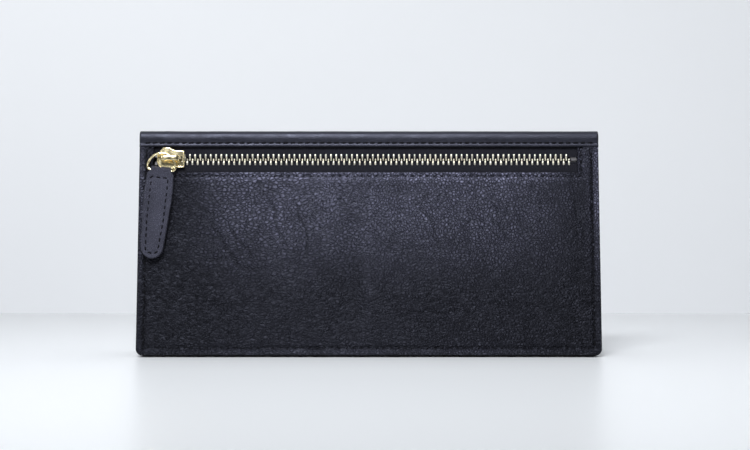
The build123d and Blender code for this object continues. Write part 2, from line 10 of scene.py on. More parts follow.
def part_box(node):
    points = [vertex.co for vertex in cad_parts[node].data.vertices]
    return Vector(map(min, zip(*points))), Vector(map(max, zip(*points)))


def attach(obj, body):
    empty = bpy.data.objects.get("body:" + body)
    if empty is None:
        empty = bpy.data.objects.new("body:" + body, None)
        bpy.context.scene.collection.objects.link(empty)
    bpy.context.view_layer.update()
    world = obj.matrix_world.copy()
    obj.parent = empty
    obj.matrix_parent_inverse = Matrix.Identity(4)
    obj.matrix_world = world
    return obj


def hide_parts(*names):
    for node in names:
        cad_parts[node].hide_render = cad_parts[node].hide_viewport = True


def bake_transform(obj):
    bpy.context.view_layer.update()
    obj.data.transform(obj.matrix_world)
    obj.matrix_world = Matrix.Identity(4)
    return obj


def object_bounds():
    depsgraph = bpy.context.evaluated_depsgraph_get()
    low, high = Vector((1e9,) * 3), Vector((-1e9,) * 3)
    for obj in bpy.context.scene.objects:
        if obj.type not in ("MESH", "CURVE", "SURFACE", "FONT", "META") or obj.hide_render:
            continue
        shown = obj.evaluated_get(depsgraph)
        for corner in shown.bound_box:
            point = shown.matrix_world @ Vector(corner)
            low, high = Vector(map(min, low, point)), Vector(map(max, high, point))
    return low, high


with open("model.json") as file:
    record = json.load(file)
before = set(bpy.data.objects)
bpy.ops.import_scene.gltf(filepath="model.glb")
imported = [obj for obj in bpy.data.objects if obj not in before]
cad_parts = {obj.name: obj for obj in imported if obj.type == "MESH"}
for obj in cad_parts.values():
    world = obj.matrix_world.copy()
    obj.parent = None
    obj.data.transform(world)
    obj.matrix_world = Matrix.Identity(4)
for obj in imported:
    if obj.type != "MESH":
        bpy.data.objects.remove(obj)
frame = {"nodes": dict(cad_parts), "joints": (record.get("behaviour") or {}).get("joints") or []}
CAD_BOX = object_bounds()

# A long leather wallet with a zipped front pocket, standing open on its two lower edges. Lengths are
# millimetres unless a comment says metres; meshes are scaled to metres when they are made.
MM = 0.001

# ---------------------------------------------------------------- places, read from the frame

JOINTS = {joint["name"]: joint for joint in frame["joints"]}
LEAN = math.radians(-JOINTS["spine_fold_front"]["range_deg"][0])


def joint_place(name):
    """Where a hinge sits."""
    return np.array(JOINTS[name]["pos_m"], float) / MM


def node_points(name):
    """Points of a CAD node's mesh."""
    return np.array([v.co for v in frame["nodes"][name].data.vertices], float) / MM


class Leaf:
    """Places on one leaf: along the fold, height from the fold line (negative), depth inwards."""

    def __init__(self, body, fold, side):
        self.body = body
        self.fold = fold
        self.along = np.array((1.0, 0.0, 0.0))
        self.up = np.array((0.0, -side * math.sin(LEAN), math.cos(LEAN)))
        self.out = np.array((0.0, side * math.cos(LEAN), math.sin(LEAN)))

    def at(self, x, height, depth):
        """Points in the frame; the arguments may be arrays."""
        x, height, depth = np.broadcast_arrays(x, height, depth)
        flat = x[..., None] * self.along + height[..., None] * self.up
        return self.fold + flat + (HINGE_DEPTH - depth)[..., None] * self.out

    def extent(self, node):
        """Lowest and highest x, height and depth of a CAD node."""
        points = node_points(node) - self.fold
        local = np.stack((points[:, 0], points @ self.up, HINGE_DEPTH - points @ self.out))
        return local.min(1), local.max(1)


spine_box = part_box("spine_leather")
LEATHER = (spine_box[1].z - spine_box[0].z) / MM
HINGE_DEPTH = LEATHER / 2
FRONT = Leaf("front_leaf", joint_place("spine_fold_front"), -1)
REAR = Leaf("rear_leaf", joint_place("spine_fold_rear"), 1)

PANEL_LOW, PANEL_HIGH = FRONT.extent("front_pocket_panel")
HALF = PANEL_HIGH[0]
PANEL_FOOT = PANEL_LOW[1]
PANEL_TOP = PANEL_HIGH[1]
BAND_FOOT = FRONT.extent("front_band")[0][1]
COVER_FOOT = REAR.extent("rear_cover")[0][1]
COVER_SEAM_TOP = -6.5
CORNER = 2.5                # radius of the leaves' lower corners

THREAD_HALF = 0.3           # half the width of the CAD model's threads
STITCH_PITCH = 3.0
EDGE_INSET = FRONT.extent("front_perimeter_thread")[0][0] + THREAD_HALF + HALF
BAND_SEAM = FRONT.extent("band_thread")[0][1] + THREAD_HALF
WINDOW_SEAM_LOW, WINDOW_SEAM_HIGH = FRONT.extent("zip_window_thread")
WINDOW_SEAM_GAP = 1.6       # from the zip window's edge to the seam round it
WINDOW_LEFT = WINDOW_SEAM_LOW[0] + THREAD_HALF + WINDOW_SEAM_GAP
WINDOW_RIGHT = WINDOW_SEAM_HIGH[0] - THREAD_HALF - WINDOW_SEAM_GAP
WINDOW_FOOT = WINDOW_SEAM_LOW[1] + THREAD_HALF + WINDOW_SEAM_GAP

# ---------------------------------------------------------------- small tools


def smooth(value, low, high):
    """0 below low, 1 above high, and an even curve between them."""
    t = np.clip((value - low) / (high - low), 0, 1)
    return t * t * (3 - 2 * t)


def bump(distance, width):
    """1 at distance 0, falling to 0 at the width."""
    return 1 - smooth(np.abs(distance), 0, width)


def clouds(x, y, size, seed):
    """Soft noise from -1 to 1 over a flat sheet, with features of about that size."""
    flat_x, flat_y = np.ravel(x) / size, np.ravel(y) / size
    made = [noise.noise(Vector((a, b, seed * 7.31))) for a, b in zip(flat_x, flat_y)]
    return np.array(made).reshape(np.shape(x))


def store_rest(mesh, rest):
    """Stores where each point lies for its texture, so that the texture moves with the piece."""
    values = np.asarray(rest, np.float32).ravel()
    mesh.attributes.new("rest_mm", "FLOAT_VECTOR", "POINT").data.foreach_set("vector", values)


def add_object(name, points, faces, material, body, rest=None):
    """Mesh object from points in millimetres, textured by rest or else by the points.

    It rides a body, unless that is None.
    """
    mesh = bpy.data.meshes.new(name)
    mesh.from_pydata((np.asarray(points, float) * MM).tolist(), [], faces)
    mesh.validate()
    mesh.polygons.foreach_set("use_smooth", [True] * len(mesh.polygons))
    store_rest(mesh, points if rest is None else rest)
    mesh.materials.append(material)
    made = bpy.data.objects.new(name, mesh)
    bpy.context.scene.collection.objects.link(made)
    if body:
        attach(made, body)
    return made


def set_tone(made, tone):
    """Stores how light or dark the leather is painted at each point, painted light and shade included, 1
    being its plain colour.
    """
    values = np.ones(len(made.data.vertices), np.float32)
    values[:tone.size] = tone.ravel()
    made.data.attributes.new("tone", "FLOAT", "POINT").data.foreach_set("value", values)


def relief_light_and_shade(raised, reach=4, strength=4.5, darkest=0.5, lightest=1.8):
    """Painted light and shade of a face from its height in millimetres: painted highlight on ridges,
    painted shade in valleys.
    """
    around = raised
    for axis in (0, 1):
        margins = [(0, 0), (0, 0)]
        margins[axis] = (reach, reach)
        padded = np.pad(around, margins, mode="edge")
        places = np.arange(raised.shape[axis])
        shifted = [np.take(padded, places + k, axis) for k in range(2 * reach + 1)]
        around = sum(shifted) / len(shifted)
    return np.clip(1 + strength * (raised - around), darkest, lightest)


def outward(mesh):
    """Turns all faces of a closed mesh outwards."""
    work = bmesh.new()
    work.from_mesh(mesh)
    bmesh.ops.recalc_face_normals(work, faces=work.faces)
    work.to_mesh(mesh)
    work.free()


def quads(rows, columns, wrap_rows=False, wrap_columns=False, keep=None):
    """Faces of a grid of points stored row by row."""
    faces = []
    for i in range(rows if wrap_rows else rows - 1):
        for j in range(columns if wrap_columns else columns - 1):
            if keep is not None and not keep[i, j]:
                continue
            k, m = (i + 1) % rows, (j + 1) % columns
            faces.append((i * columns + j, i * columns + m, k * columns + m, k * columns + j))
    return faces


def tube(rings, closed=False):
    """Points and faces of a skin over rings of equal size, capped unless it closes on itself."""
    count, around = len(rings), len(rings[0])
    faces = quads(count, around, wrap_rows=closed, wrap_columns=True)
    if not closed:
        faces.append(tuple(range(around)))
        faces.append(tuple((count - 1) * around + k for k in reversed(range(around))))
    return np.concatenate(rings), faces


def tube_object(name, rings, material, body, rest_of=None, closed=False):
    """Closed object skinned over rings. rest_of turns its points into its texture's places."""
    points, faces = tube(rings, closed)
    rest = rest_of(points) if rest_of else None
    made = add_object(name, points, faces, material, body, rest)
    outward(made.data)
    return made


class Batch:
    """Many small closed forms gathered into one mesh."""

    def __init__(self):
        self.points, self.faces, self.count = [], [], 0

    def add(self, points, faces):
        self.points.append(points)
        self.faces += [tuple(k + self.count for k in face) for face in faces]
        self.count += len(points)

    def object(self, name, material, body):
        made = add_object(name, np.concatenate(self.points), self.faces, material, body)
        outward(made.data)
        return made


def circle_angles(count):
    return np.arange(count) * 2 * math.pi / count


def rounded_section(width, height, radius, steps=3):
    """Rounded rectangle about the origin, as points in its own plane."""
    radius = min(radius, width / 2, height / 2)
    points = []
    for turn, (sx, sy) in enumerate(((1, 1), (-1, 1), (-1, -1), (1, -1))):
        for step in range(steps + 1):
            angle = math.radians(90 * turn + 90 * step / steps)
            points.append((sx * (width / 2 - radius) + radius * math.cos(angle),
                           sy * (height / 2 - radius) + radius * math.sin(angle)))
    return np.array(points)


def places_along(line, stations, reach):
    """Place and direction at each of some distances along a line of points."""
    steps = np.linalg.norm(np.diff(line, axis=0), axis=1)
    lengths = np.concatenate(([0.0], np.cumsum(steps)))

    def spot(distance):
        return np.array([np.interp(distance, lengths, line[:, n]) for n in (0, 1)])

    places = []
    for here in stations(lengths[-1]):
        way = spot(here + reach) - spot(here - reach)
        places.append((spot(here), way / np.linalg.norm(way)))
    return places


# ---------------------------------------------------------------- materials


class Shade:
    """One material's node tree, with short calls to add nodes to it."""

    def __init__(self, name):
        self.material = bpy.data.materials.new(name)
        self.material.use_nodes = True
        self.tree = self.material.node_tree
        self.surface = self.tree.nodes["Principled BSDF"]

    def add(self, kind, inputs=None, **settings):
        made = self.tree.nodes.new(kind)
        for key, value in settings.items():
            setattr(made, key, value)
        for key, value in (inputs or {}).items():
            self.put(made, key, value)
        return made

    def put(self, target, key, value):
        if isinstance(value, bpy.types.NodeSocket):
            self.tree.links.new(value, target.inputs[key])
        else:
            target.inputs[key].default_value = value

    def math(self, operation, a, b=0.0):
        return self.add("ShaderNodeMath", {0: a, 1: b}, operation=operation).outputs[0]

    def plus(self, a, b):
        return self.math("ADD", a, b)

    def times(self, a, b):
        return self.math("MULTIPLY", a, b)

    def rest_of(self, part):
        """What is left of 1 when a part is taken away."""
        return self.math("SUBTRACT", 1.0, part)

    def waves(self, value, length):
        return self.math("SINE", self.times(value, 2 * math.pi / length))

    def ramp(self, value, low, high, start=0.0, end=1.0):
        made = self.add("ShaderNodeMapRange", {"Value": value, "From Min": low, "From Max": high,
                                               "To Min": start, "To Max": end})
        made.interpolation_type = "SMOOTHSTEP"
        return made.outputs[0]

    def spread(self, cloud, start, end):
        """Takes a cloud, which lies mostly between 0.3 and 0.7, to a range of values."""
        return self.ramp(cloud, 0.3, 0.7, start, end)

    def blend(self, a, b, part):
        """a and b added up, b by its part and a by the rest."""
        return self.plus(self.times(a, self.rest_of(part)), self.times(b, part))

    def mix(self, factor, a, b):
        made = self.add("ShaderNodeMix", data_type="RGBA")
        self.put(made, 0, factor)
        self.put(made, 6, a)
        self.put(made, 7, b)
        return made.outputs[2]

    def vector(self, operation, vector, by=None, scale=None):
        inputs = {0: vector}
        if by is not None:
            inputs[1] = by
        if scale is not None:
            inputs["Scale"] = scale
        return self.add("ShaderNodeVectorMath", inputs, operation=operation).outputs[0]

    def place(self):
        """Rest position of each point, in millimetres."""
        return self.add("ShaderNodeAttribute", attribute_name="rest_mm").outputs["Vector"]

    def parts(self, vector):
        return self.add("ShaderNodeSeparateXYZ", {0: vector}).outputs

    def tone(self):
        """The tone that set_tone stored."""
        return self.add("ShaderNodeAttribute", attribute_name="tone").outputs["Fac"]

    def noise(self, vector, size, detail):
        return self.add("ShaderNodeTexNoise", {"Vector": vector, "Scale": 1 / size, "Detail": detail})

    def clouds(self, vector, size, detail=2.0):
        return self.noise(vector, size, detail).outputs[0]

    def cells(self, vector, size):
        """Distance from the grooves between cells of about that size."""
        made = self.add("ShaderNodeTexVoronoi", {"Vector": vector, "Scale": 1 / size},
                        feature="DISTANCE_TO_EDGE")
        return made.outputs["Distance"]

    def warp(self, vector, size, reach):
        """Places pushed about by a noise of that size, by up to about half the reach."""
        centred = self.vector("SUBTRACT", self.noise(vector, size, 1.0).outputs[1], by=(0.5, 0.5, 0.5))
        return self.vector("ADD", vector, by=self.vector("SCALE", centred, scale=reach))

    def finish(self, colour, roughness, height=None, relief=0.1, **constants):
        """Sets the surface. relief is the height of the bump in millimetres."""
        self.put(self.surface, "Base Color", colour)
        self.put(self.surface, "Roughness", roughness)
        for key, value in constants.items():
            self.surface.inputs[key.replace("_", " ")].default_value = value
        if height is not None:
            made = self.add("ShaderNodeBump", {"Height": height, "Distance": relief * MM, "Strength": 1.0})
            self.put(self.surface, "Normal", made.outputs[0])
        return self.material


def darker(colour, share):
    """A colour at a share of its brightness."""
    return (*[c * share for c in colour[:3]], 1)


COOL = (0.75, 0.77, 1.0, 1)      # tint of the gloss on the dyed leather
LONG_CELL = 1.42                 # sizes of the grain's cells
ROUND_CELL = 1.18
SMALL_CELL = 0.66
GRAIN_RELIEF = 0.40
PAINTED_LIGHT_SPAN = (-72.0, -22.0)       # heights over which a painted light gradient runs, darker below and lighter above
SIDE_MIDDLE = 4.0
SIDE_SHADE_SPAN = (50.0, 84.0)         # distances from SIDE_MIDDLE over which a painted shade darkens the leather towards the sides


def pebble_cells(shade, place, x):
    """Height and tone of the grain: long coarse cells at one end, round fine ones at the other.
    The tone, light in each cell's middle and dark at its grooves, is partly grain colour and partly
    painted highlight and shade.
    """
    warped = shade.warp(shade.warp(place, 11.0, 3.2), 2.4, 0.4)
    stretched = shade.vector("MULTIPLY", warped, by=(0.80, 1.16, 1.0))
    shift = shade.times(shade.plus(shade.clouds(place, 30.0, 1.0), -0.5), 120.0)
    fine_part = shade.ramp(shade.plus(x, shift), -60.0, 45.0)
    coarse = shade.ramp(shade.cells(stretched, LONG_CELL), -0.03, 0.42)
    rounded = shade.ramp(shade.cells(warped, ROUND_CELL), -0.03, 0.42)
    small = shade.ramp(shade.cells(stretched, SMALL_CELL), 0.0, 0.3)
    long_grain = shade.plus(coarse, shade.times(small, 0.22))
    round_grain = shade.plus(rounded, shade.times(small, 0.12))
    ripple = shade.ramp(shade.clouds(stretched, 1.5, 1.0), 0.36, 0.60, 0.45, 1.2)
    grain = shade.times(shade.blend(long_grain, round_grain, fine_part), ripple)
    # tone: partly grain colour, partly painted highlight in each cell's middle and painted shade at its
    # grooves
    tone = shade.times(shade.blend(coarse, rounded, fine_part), ripple)
    return grain, tone


def pebbled_leather(name, base, groove, gloss, wear, painted_side_shade, fade=None):
    """Pebbled grain. wear is a painted light gradient, its tone low down and high up, painted_side_shade
    a painted shade, its tone near the sides, and fade smooths the grain between two heights."""
    shade = Shade(name)
    place = shade.place()
    x, height, _ = shade.parts(place)
    grain, tone = pebble_cells(shade, place, x)
    if fade:
        rough_part = shade.ramp(height, fade[1], fade[0])
        grain = shade.times(grain, shade.plus(shade.times(rough_part, 0.86), 0.14))
        tone = shade.math("MAXIMUM", tone, shade.times(shade.rest_of(rough_part), 0.55))
    pores = shade.times(shade.clouds(place, 0.3), 0.22)
    swell = shade.times(shade.clouds(place, 5.0), 1.1)
    grain = shade.plus(shade.plus(grain, pores), swell)
    # painted light: darker low down and lighter high up, and painted shade towards the sides
    painted_height_light = shade.ramp(height, *PAINTED_LIGHT_SPAN, *wear)
    aside = shade.math("ABSOLUTE", shade.plus(x, -SIDE_MIDDLE))
    sides = shade.ramp(aside, *SIDE_SHADE_SPAN, 1.0, painted_side_shade)
    patches = shade.spread(shade.clouds(place, 14.0, 3.0), 0.72, 1.28)
    uneven = shade.times(shade.times(patches, shade.times(painted_height_light, sides)), shade.tone())
    colour = shade.vector("SCALE", shade.mix(tone, groove, base), scale=uneven)
    shine = shade.spread(shade.clouds(place, 3.2, 3.0), *gloss)
    shine = shade.plus(shine, shade.ramp(uneven, 0.2, 1.4, 0.13, -0.03))
    return shade.finish(colour, shine, grain, GRAIN_RELIEF, Specular_Tint=COOL, Specular_IOR_Level=0.27)


def plain_leather(name, base, gloss, relief=0.03, cell=0.5, level=0.35):
    """Smooth leather with very fine grain and slow patches of tone."""
    shade = Shade(name)
    place = shade.place()
    fine = shade.ramp(shade.cells(shade.warp(place, 1.5, 0.4), cell), 0.0, 0.25)
    grain = shade.plus(shade.times(fine, 0.6), shade.clouds(place, 0.9, 3.0))
    uneven = shade.spread(shade.clouds(place, 11.0, 3.0), 0.82, 1.15)
    colour = shade.mix(shade.ramp(fine, 0.0, 1.0), darker(base, 0.75), base)
    tinted = shade.vector("SCALE", colour, scale=uneven)
    shine = shade.spread(shade.clouds(place, 4.0), *gloss)
    return shade.finish(tinted, shine, grain, relief, Specular_Tint=COOL, Specular_IOR_Level=level)


def woven(name, base, dark, thread, relief=0.05, chevron=False):
    """Woven cloth or zip tape; chevron turns the rows into a herringbone."""
    shade = Shade(name)
    place = shade.place()
    along, across, _ = shade.parts(place)
    if chevron:
        along = shade.plus(along, shade.math("PINGPONG", across, thread * 5))
    crossing = shade.times(shade.waves(along, thread), shade.waves(across, thread))
    fuzz = shade.clouds(place, 0.2, 3.0)
    height = shade.plus(shade.plus(shade.times(crossing, 0.5), 1.0), shade.times(fuzz, 0.5))
    colour = shade.mix(shade.ramp(height, 0.2, 1.1), dark, base)
    return shade.finish(colour, shade.spread(fuzz, 0.72, 0.92), height, relief, Specular_IOR_Level=0.15)


def thread_material(name, base):
    """Twisted waxed thread."""
    shade = Shade(name)
    place = shade.place()
    x, y, z = shade.parts(place)
    twist = shade.waves(shade.plus(x, shade.plus(y, z)), 0.42)
    strands = shade.plus(shade.times(twist, 0.5), 0.5)
    tone = shade.spread(shade.clouds(place, 5.0), 0.7, 1.3)
    colour = shade.vector("SCALE", base[:3], scale=tone)
    shine = shade.ramp(twist, -1.0, 1.0, 0.62, 0.8)
    return shade.finish(colour, shine, strands, 0.05, Specular_IOR_Level=0.12)


def metal(name, base, low, high):
    """Plated metal with faint wear and fine polishing marks."""
    shade = Shade(name)
    place = shade.place()
    wear = shade.clouds(place, 1.6, 4.0)
    marks = shade.clouds(shade.vector("MULTIPLY", place, by=(1.0, 9.0, 9.0)), 0.8)
    colour = shade.mix(shade.ramp(wear, 0.35, 0.6), darker(base, 0.8), base)
    return shade.finish(colour, shade.spread(wear, low, high), marks, 0.002, Metallic=1.0)


def painted_edge(name, base):
    """Edge paint: smooth and slightly wavy."""
    shade = Shade(name)
    place = shade.place()
    waves = shade.clouds(place, 1.8)
    colour = shade.vector("SCALE", base[:3], scale=shade.spread(shade.clouds(place, 6.0), 0.75, 1.3))
    return shade.finish(colour, shade.spread(waves, 0.3, 0.45), waves, 0.08)


def board_material(name, base):
    """Bonded fibre board."""
    shade = Shade(name)
    fibres = shade.clouds(shade.place(), 0.5, 5.0)
    colour = shade.mix(fibres, darker(base, 0.6), base)
    return shade.finish(colour, shade.spread(fibres, 0.75, 0.92), fibres, 0.05)


# Near black: on the pebbled leather, painted shade in the grain's grooves; on the tape, the dark of the
# weave
GROOVE = (0.001, 0.001, 0.002, 1)
# The two tone settings paint a light gradient up each leaf and a shade towards its sides
PEBBLED = pebbled_leather("pebbled_leather", (0.060, 0.060, 0.086, 1), GROOVE, (0.30, 0.40),
                          wear=(0.12, 1.7), painted_side_shade=0.24)
SHELL = pebbled_leather("shell_leather", (0.033, 0.033, 0.048, 1), GROOVE, (0.34, 0.46),
                        wear=(0.75, 1.1), painted_side_shade=0.6, fade=(-17.0, -5.0))
SMOOTH = plain_leather("smooth_leather", (0.014, 0.014, 0.020, 1), (0.32, 0.44))
PULLER = plain_leather("puller_leather", (0.043, 0.043, 0.060, 1), (0.50, 0.64), 0.3, 0.8, 0.28)
INNER = plain_leather("inner_leather", (0.012, 0.012, 0.017, 1), (0.42, 0.55), 0.03, 0.6)
TAPE = woven("zip_tape_weave", (0.010, 0.010, 0.015, 1), GROOVE, 0.8, 0.14, chevron=True)
LINING = woven("lining_weave", (0.014, 0.014, 0.020, 1), (0.006, 0.006, 0.009, 1), 0.3)
THREAD = thread_material("thread_twist", (0.003, 0.003, 0.005, 1))
TEETH = metal("teeth_plate", (1.0, 0.94, 0.80, 1), 0.28, 0.36)
GOLD = metal("gold_plate", (0.95, 0.82, 0.50, 1), 0.17, 0.27)
STEEL = metal("spring_steel", (0.20, 0.17, 0.11, 1), 0.35, 0.5)
STOP = metal("stop_metal", (0.13, 0.125, 0.13, 1), 0.35, 0.5)
EDGE = painted_edge("edge_paint", (0.007, 0.007, 0.010, 1))
BOARD = board_material("fibre_board", (0.16, 0.13, 0.10, 1))

# ---------------------------------------------------------------- leather sheets

NEAR_EDGE = np.array([0.0, 0.06, 0.16, 0.30, 0.48, 0.72])   # grid lines beside a rounded edge
EDGE_ROLL = 0.55            # radii of the sheets' rounded edges
WINDOW_ROLL = 0.6


def edge_lines(start, stop, step, fine_ends=True):
    """Grid lines from start to stop, closer together at the ends, where the sheet rounds over."""
    near = NEAR_EDGE if fine_ends else NEAR_EDGE[:1]
    inner_start, inner_stop = start + near[-1], stop - near[-1]
    count = max(2, int(round((inner_stop - inner_start) / step)))
    middle = np.linspace(inner_start, inner_stop, count + 1)
    return np.concatenate((start + near[:-1], middle, (stop - near[:-1])[::-1]))


def round_corners(x, height, foot):
    """Bends the grid's two lower corners into arcs, keeping each line its distance from the edge."""
    a = (np.abs(x) - (HALF - CORNER)) / CORNER
    b = ((foot + CORNER) - height) / CORNER
    inside = (a > 0) & (b > 0)
    reach = np.maximum(a, b)
    ratio = np.minimum(a, b) / np.where(reach > 0, reach, 1)
    angle = np.where(a >= b, ratio, 2 - ratio) * math.pi / 4
    new_x = np.sign(x) * (HALF - CORNER + CORNER * reach * np.cos(angle))
    new_height = foot + CORNER - CORNER * reach * np.sin(angle)
    return np.where(inside, new_x, x), np.where(inside, new_height, height)


def roll(distance, radius=EDGE_ROLL):
    """How far a sheet's face drops near its rounded edge."""
    t = np.clip(1 - distance / radius, 0, 1)
    return radius * (1 - np.sqrt(1 - t * t))


def seam_dip(distance, along, depth=0.40, width=1.15, holes=0.44):
    """Valley that a row of stitches pulls into leather, deeper at the needle holes."""
    beat = 0.5 + 0.5 * np.cos(2 * math.pi * along / STITCH_PITCH)
    return depth * bump(distance, width) + holes * bump(distance, 0.6) * beat ** 3


def rim_distance(x, height, foot):
    """Distance from the two sides and the lower edge, before the corners are rounded."""
    return np.minimum(HALF - np.abs(x), height - foot)


def window_distance(x, height):
    """Distance outside the zip window, and whether the window's sill is the nearest part of it."""
    beside = np.maximum(WINDOW_LEFT - x, x - WINDOW_RIGHT)
    below = WINDOW_FOOT - height
    return np.maximum(beside, below), below > beside


def edge_seam_dip(x, height, foot, top):
    """Valley of the seam that runs round a leaf's sides and lower edge."""
    side = (HALF - np.abs(x)) < (height - foot)
    along = np.where(side, height - foot - EDGE_INSET, x)
    return seam_dip(rim_distance(x, height, foot) - EDGE_INSET, along) * (height < top)


def crease(x, height, start, end, depth, width, seed):
    """Soft valley with a low lip beside it, along a wandering line between two points of a sheet."""
    start, end = np.array(start, float), np.array(end, float)
    run = end - start
    length = np.hypot(*run)
    along = ((x - start[0]) * run[0] + (height - start[1]) * run[1]) / length
    across = ((x - start[0]) * run[1] - (height - start[1]) * run[0]) / length
    wander = 0.9 * np.sin(along / 4.7 + seed) + 0.5 * np.sin(along / 2.1 + 2 * seed)
    ends = smooth(along, -2, 6) * (1 - smooth(along, length - 6, length + 2))
    lip = bump(across - wander - width * 0.9, width)
    return ends * depth * (bump(across - wander, width) - 0.35 * lip)


def all_creases(x, height, creases):
    return sum(crease(x, height, *one) for one in creases)


def cloud_relief(x, height, seed):
    """Slow unevenness of a leather face."""
    return (0.16 * clouds(x, height, 17.0, seed) + 0.07 * clouds(x, height, 6.5, seed + 1)
            + 0.035 * clouds(x, height, 2.6, seed + 2))


def fullness(x, height, foot, top):
    """Share of its fullness that a padded leaf has between its seams."""
    sides = smooth(HALF - np.abs(x) - EDGE_INSET, 0, 20)
    part = np.clip((height - foot - EDGE_INSET) / (top - foot - EDGE_INSET), 0, 1)
    return sides * np.sin(math.pi * part ** 0.85)


def close_back(mesh, leaf, back_depth):
    """Turns an open face into a closed sheet: walls back to a depth, and a flat back."""
    work = bmesh.new()
    work.from_mesh(mesh)
    loose = [v for v in work.verts if not v.link_faces]
    bmesh.ops.delete(work, geom=loose, context="VERTS")
    border = [e for e in work.edges if e.is_boundary]
    made = bmesh.ops.extrude_edge_only(work, edges=border)["geom"]
    out = Vector(leaf.out)
    plane = Vector(leaf.fold * MM) + out * (HINGE_DEPTH - back_depth) * MM
    for vertex in (g for g in made if isinstance(g, bmesh.types.BMVert)):
        vertex.co -= out * (vertex.co - plane).dot(out)
    rim = [e for e in work.edges if e.is_boundary]
    bmesh.ops.edgeloop_fill(work, edges=rim)
    bmesh.ops.recalc_face_normals(work, faces=work.faces)
    for face in work.faces:
        face.smooth = len(face.verts) == 4
    work.to_mesh(mesh)
    work.free()


# ---------------------------------------------------------------- front panel

SWEEP_END = 54              # the puller sweeps over the panel down to this far below the fold
PANEL_FULLNESS = (0.42, 0.5)    # under the puller's sweep, and what is added below it
DENT_X = -6.2               # deepest line of a soft dent low in the panel's middle
DENT_LEFT = 17.0            # how far the dent reaches to each side
DENT_RIGHT = 6.5
DENT_DEPTH = 1.3
DENT_SHADE = 0.45            # painted shade in the dent: how much darker it is painted there
PULLER_SHADE_X = -84.0      # painted shadow on the leather behind the puller, centred here
PULLER_SHADE_REACH = 24.0
PULLER_SHADOW = 0.6
SEAM_HIGHLIGHT = 1.8           # painted highlight: how much lighter the leather is painted along its seams
RIM_HIGHLIGHT = 1.8            # share of it along the edge seam, and the most it adds up to
SIDE_HOLLOWS = [(86.0, 0.25), (-86.5, 0.20)]    # place and depth of a hollow by each side
HOLLOW_WIDTH = 5.0
CREASE_STRENGTH = 1.4

# Creases of the panel: start and end on the leaf, depth, half width, and a seed for the wander
PANEL_CREASES = [
    ((-64, -36), (-54, -58), 0.34, 1.3, 0.4),
    ((-58, -38), (-48, -54), 0.26, 1.1, 1.9),
    ((-70, -52), (-44, -57), 0.22, 1.2, 2.6),
    ((-80, -68), (-52, -72), 0.26, 1.2, 3.1),
    ((-84, -60), (-62, -65), 0.22, 1.1, 0.2),
    ((-42, -28), (-34, -46), 0.18, 1.1, 4.4),
    ((-74, -30), (-62, -34), 0.20, 1.0, 5.2),
    ((-72, -42), (-58, -45), 0.20, 1.0, 1.2),
    ((-30, -30), (-24, -52), 0.14, 1.2, 2.4),
    ((12, -73), (42, -76), 0.14, 1.3, 6.0),
    ((50, -34), (60, -48), 0.12, 1.1, 0.9),
    ((84, -24), (88, -48), 0.20, 1.1, 1.3),
    ((-34, -64), (-14, -72), 0.16, 1.2, 2.2),
    ((20, -30), (32, -50), 0.10, 1.3, 3.3),
]


def dent_share(x, height):
    """1 in the deepest line of the dent, 0 away from it."""
    across = np.where(x < DENT_X, bump(x - DENT_X, DENT_LEFT), bump(x - DENT_X, DENT_RIGHT))
    return across * smooth(height, -92, -70) * (1 - smooth(height, -66, -42))


def panel_painted_light(x, height):
    """Painted light on the panel: painted shade in the dent, a painted shadow beside the puller and
    painted highlights along the seams.
    """
    beside_puller = bump(x - PULLER_SHADE_X, PULLER_SHADE_REACH) * smooth(height, -90, -60)
    rim = rim_distance(x, height, PANEL_FOOT)
    aside, _ = window_distance(x, height)
    seam_highlight = RIM_HIGHLIGHT * bump(rim, EDGE_INSET + 1.4)
    seam_highlight = seam_highlight + bump(aside - WINDOW_SEAM_GAP, 1.9) * (aside > 0)
    dark = (1 - DENT_SHADE * dent_share(x, height)) * (1 - PULLER_SHADOW * beside_puller)
    return dark * (1 + SEAM_HIGHLIGHT * np.clip(seam_highlight, 0, RIM_HIGHLIGHT))


def panel_relief(x, height):
    """Face of the panel: fullness, seams, creases and dent. It stays low where the puller sweeps."""
    below_puller = smooth(-height, SWEEP_END, SWEEP_END + 20)
    full = PANEL_FULLNESS[0] + PANEL_FULLNESS[1] * below_puller
    raised = 0.05 + fullness(x, height, PANEL_FOOT, WINDOW_FOOT) * full
    raised = raised + cloud_relief(x, height, 3) * (0.7 + 0.3 * below_puller)
    raised = raised * (0.3 + 0.7 * smooth(x, -74, -66))
    raised = raised - edge_seam_dip(x, height, PANEL_FOOT, PANEL_TOP)
    aside, below = window_distance(x, height)
    along = np.where(below, x, height)
    raised = raised - seam_dip(aside - WINDOW_SEAM_GAP, along) * (aside > 0)
    raised = raised - DENT_DEPTH * dent_share(x, height)
    for place, deep in SIDE_HOLLOWS:
        raised = raised - deep * bump(x - place, HOLLOW_WIDTH)
    return raised - CREASE_STRENGTH * all_creases(x, height, PANEL_CREASES)


def panel_grid():
    """Grid of the panel, closer beside its edges and the window's."""
    across = (edge_lines(-HALF, WINDOW_LEFT, 0.5),
              edge_lines(WINDOW_LEFT, WINDOW_RIGHT, 0.55, False)[1:-1],
              edge_lines(WINDOW_RIGHT, HALF, 0.5))
    up = (edge_lines(PANEL_FOOT, WINDOW_FOOT, 0.55),
          edge_lines(WINDOW_FOOT, PANEL_TOP, 0.6, False)[1:])
    return np.meshgrid(np.concatenate(across), np.concatenate(up))


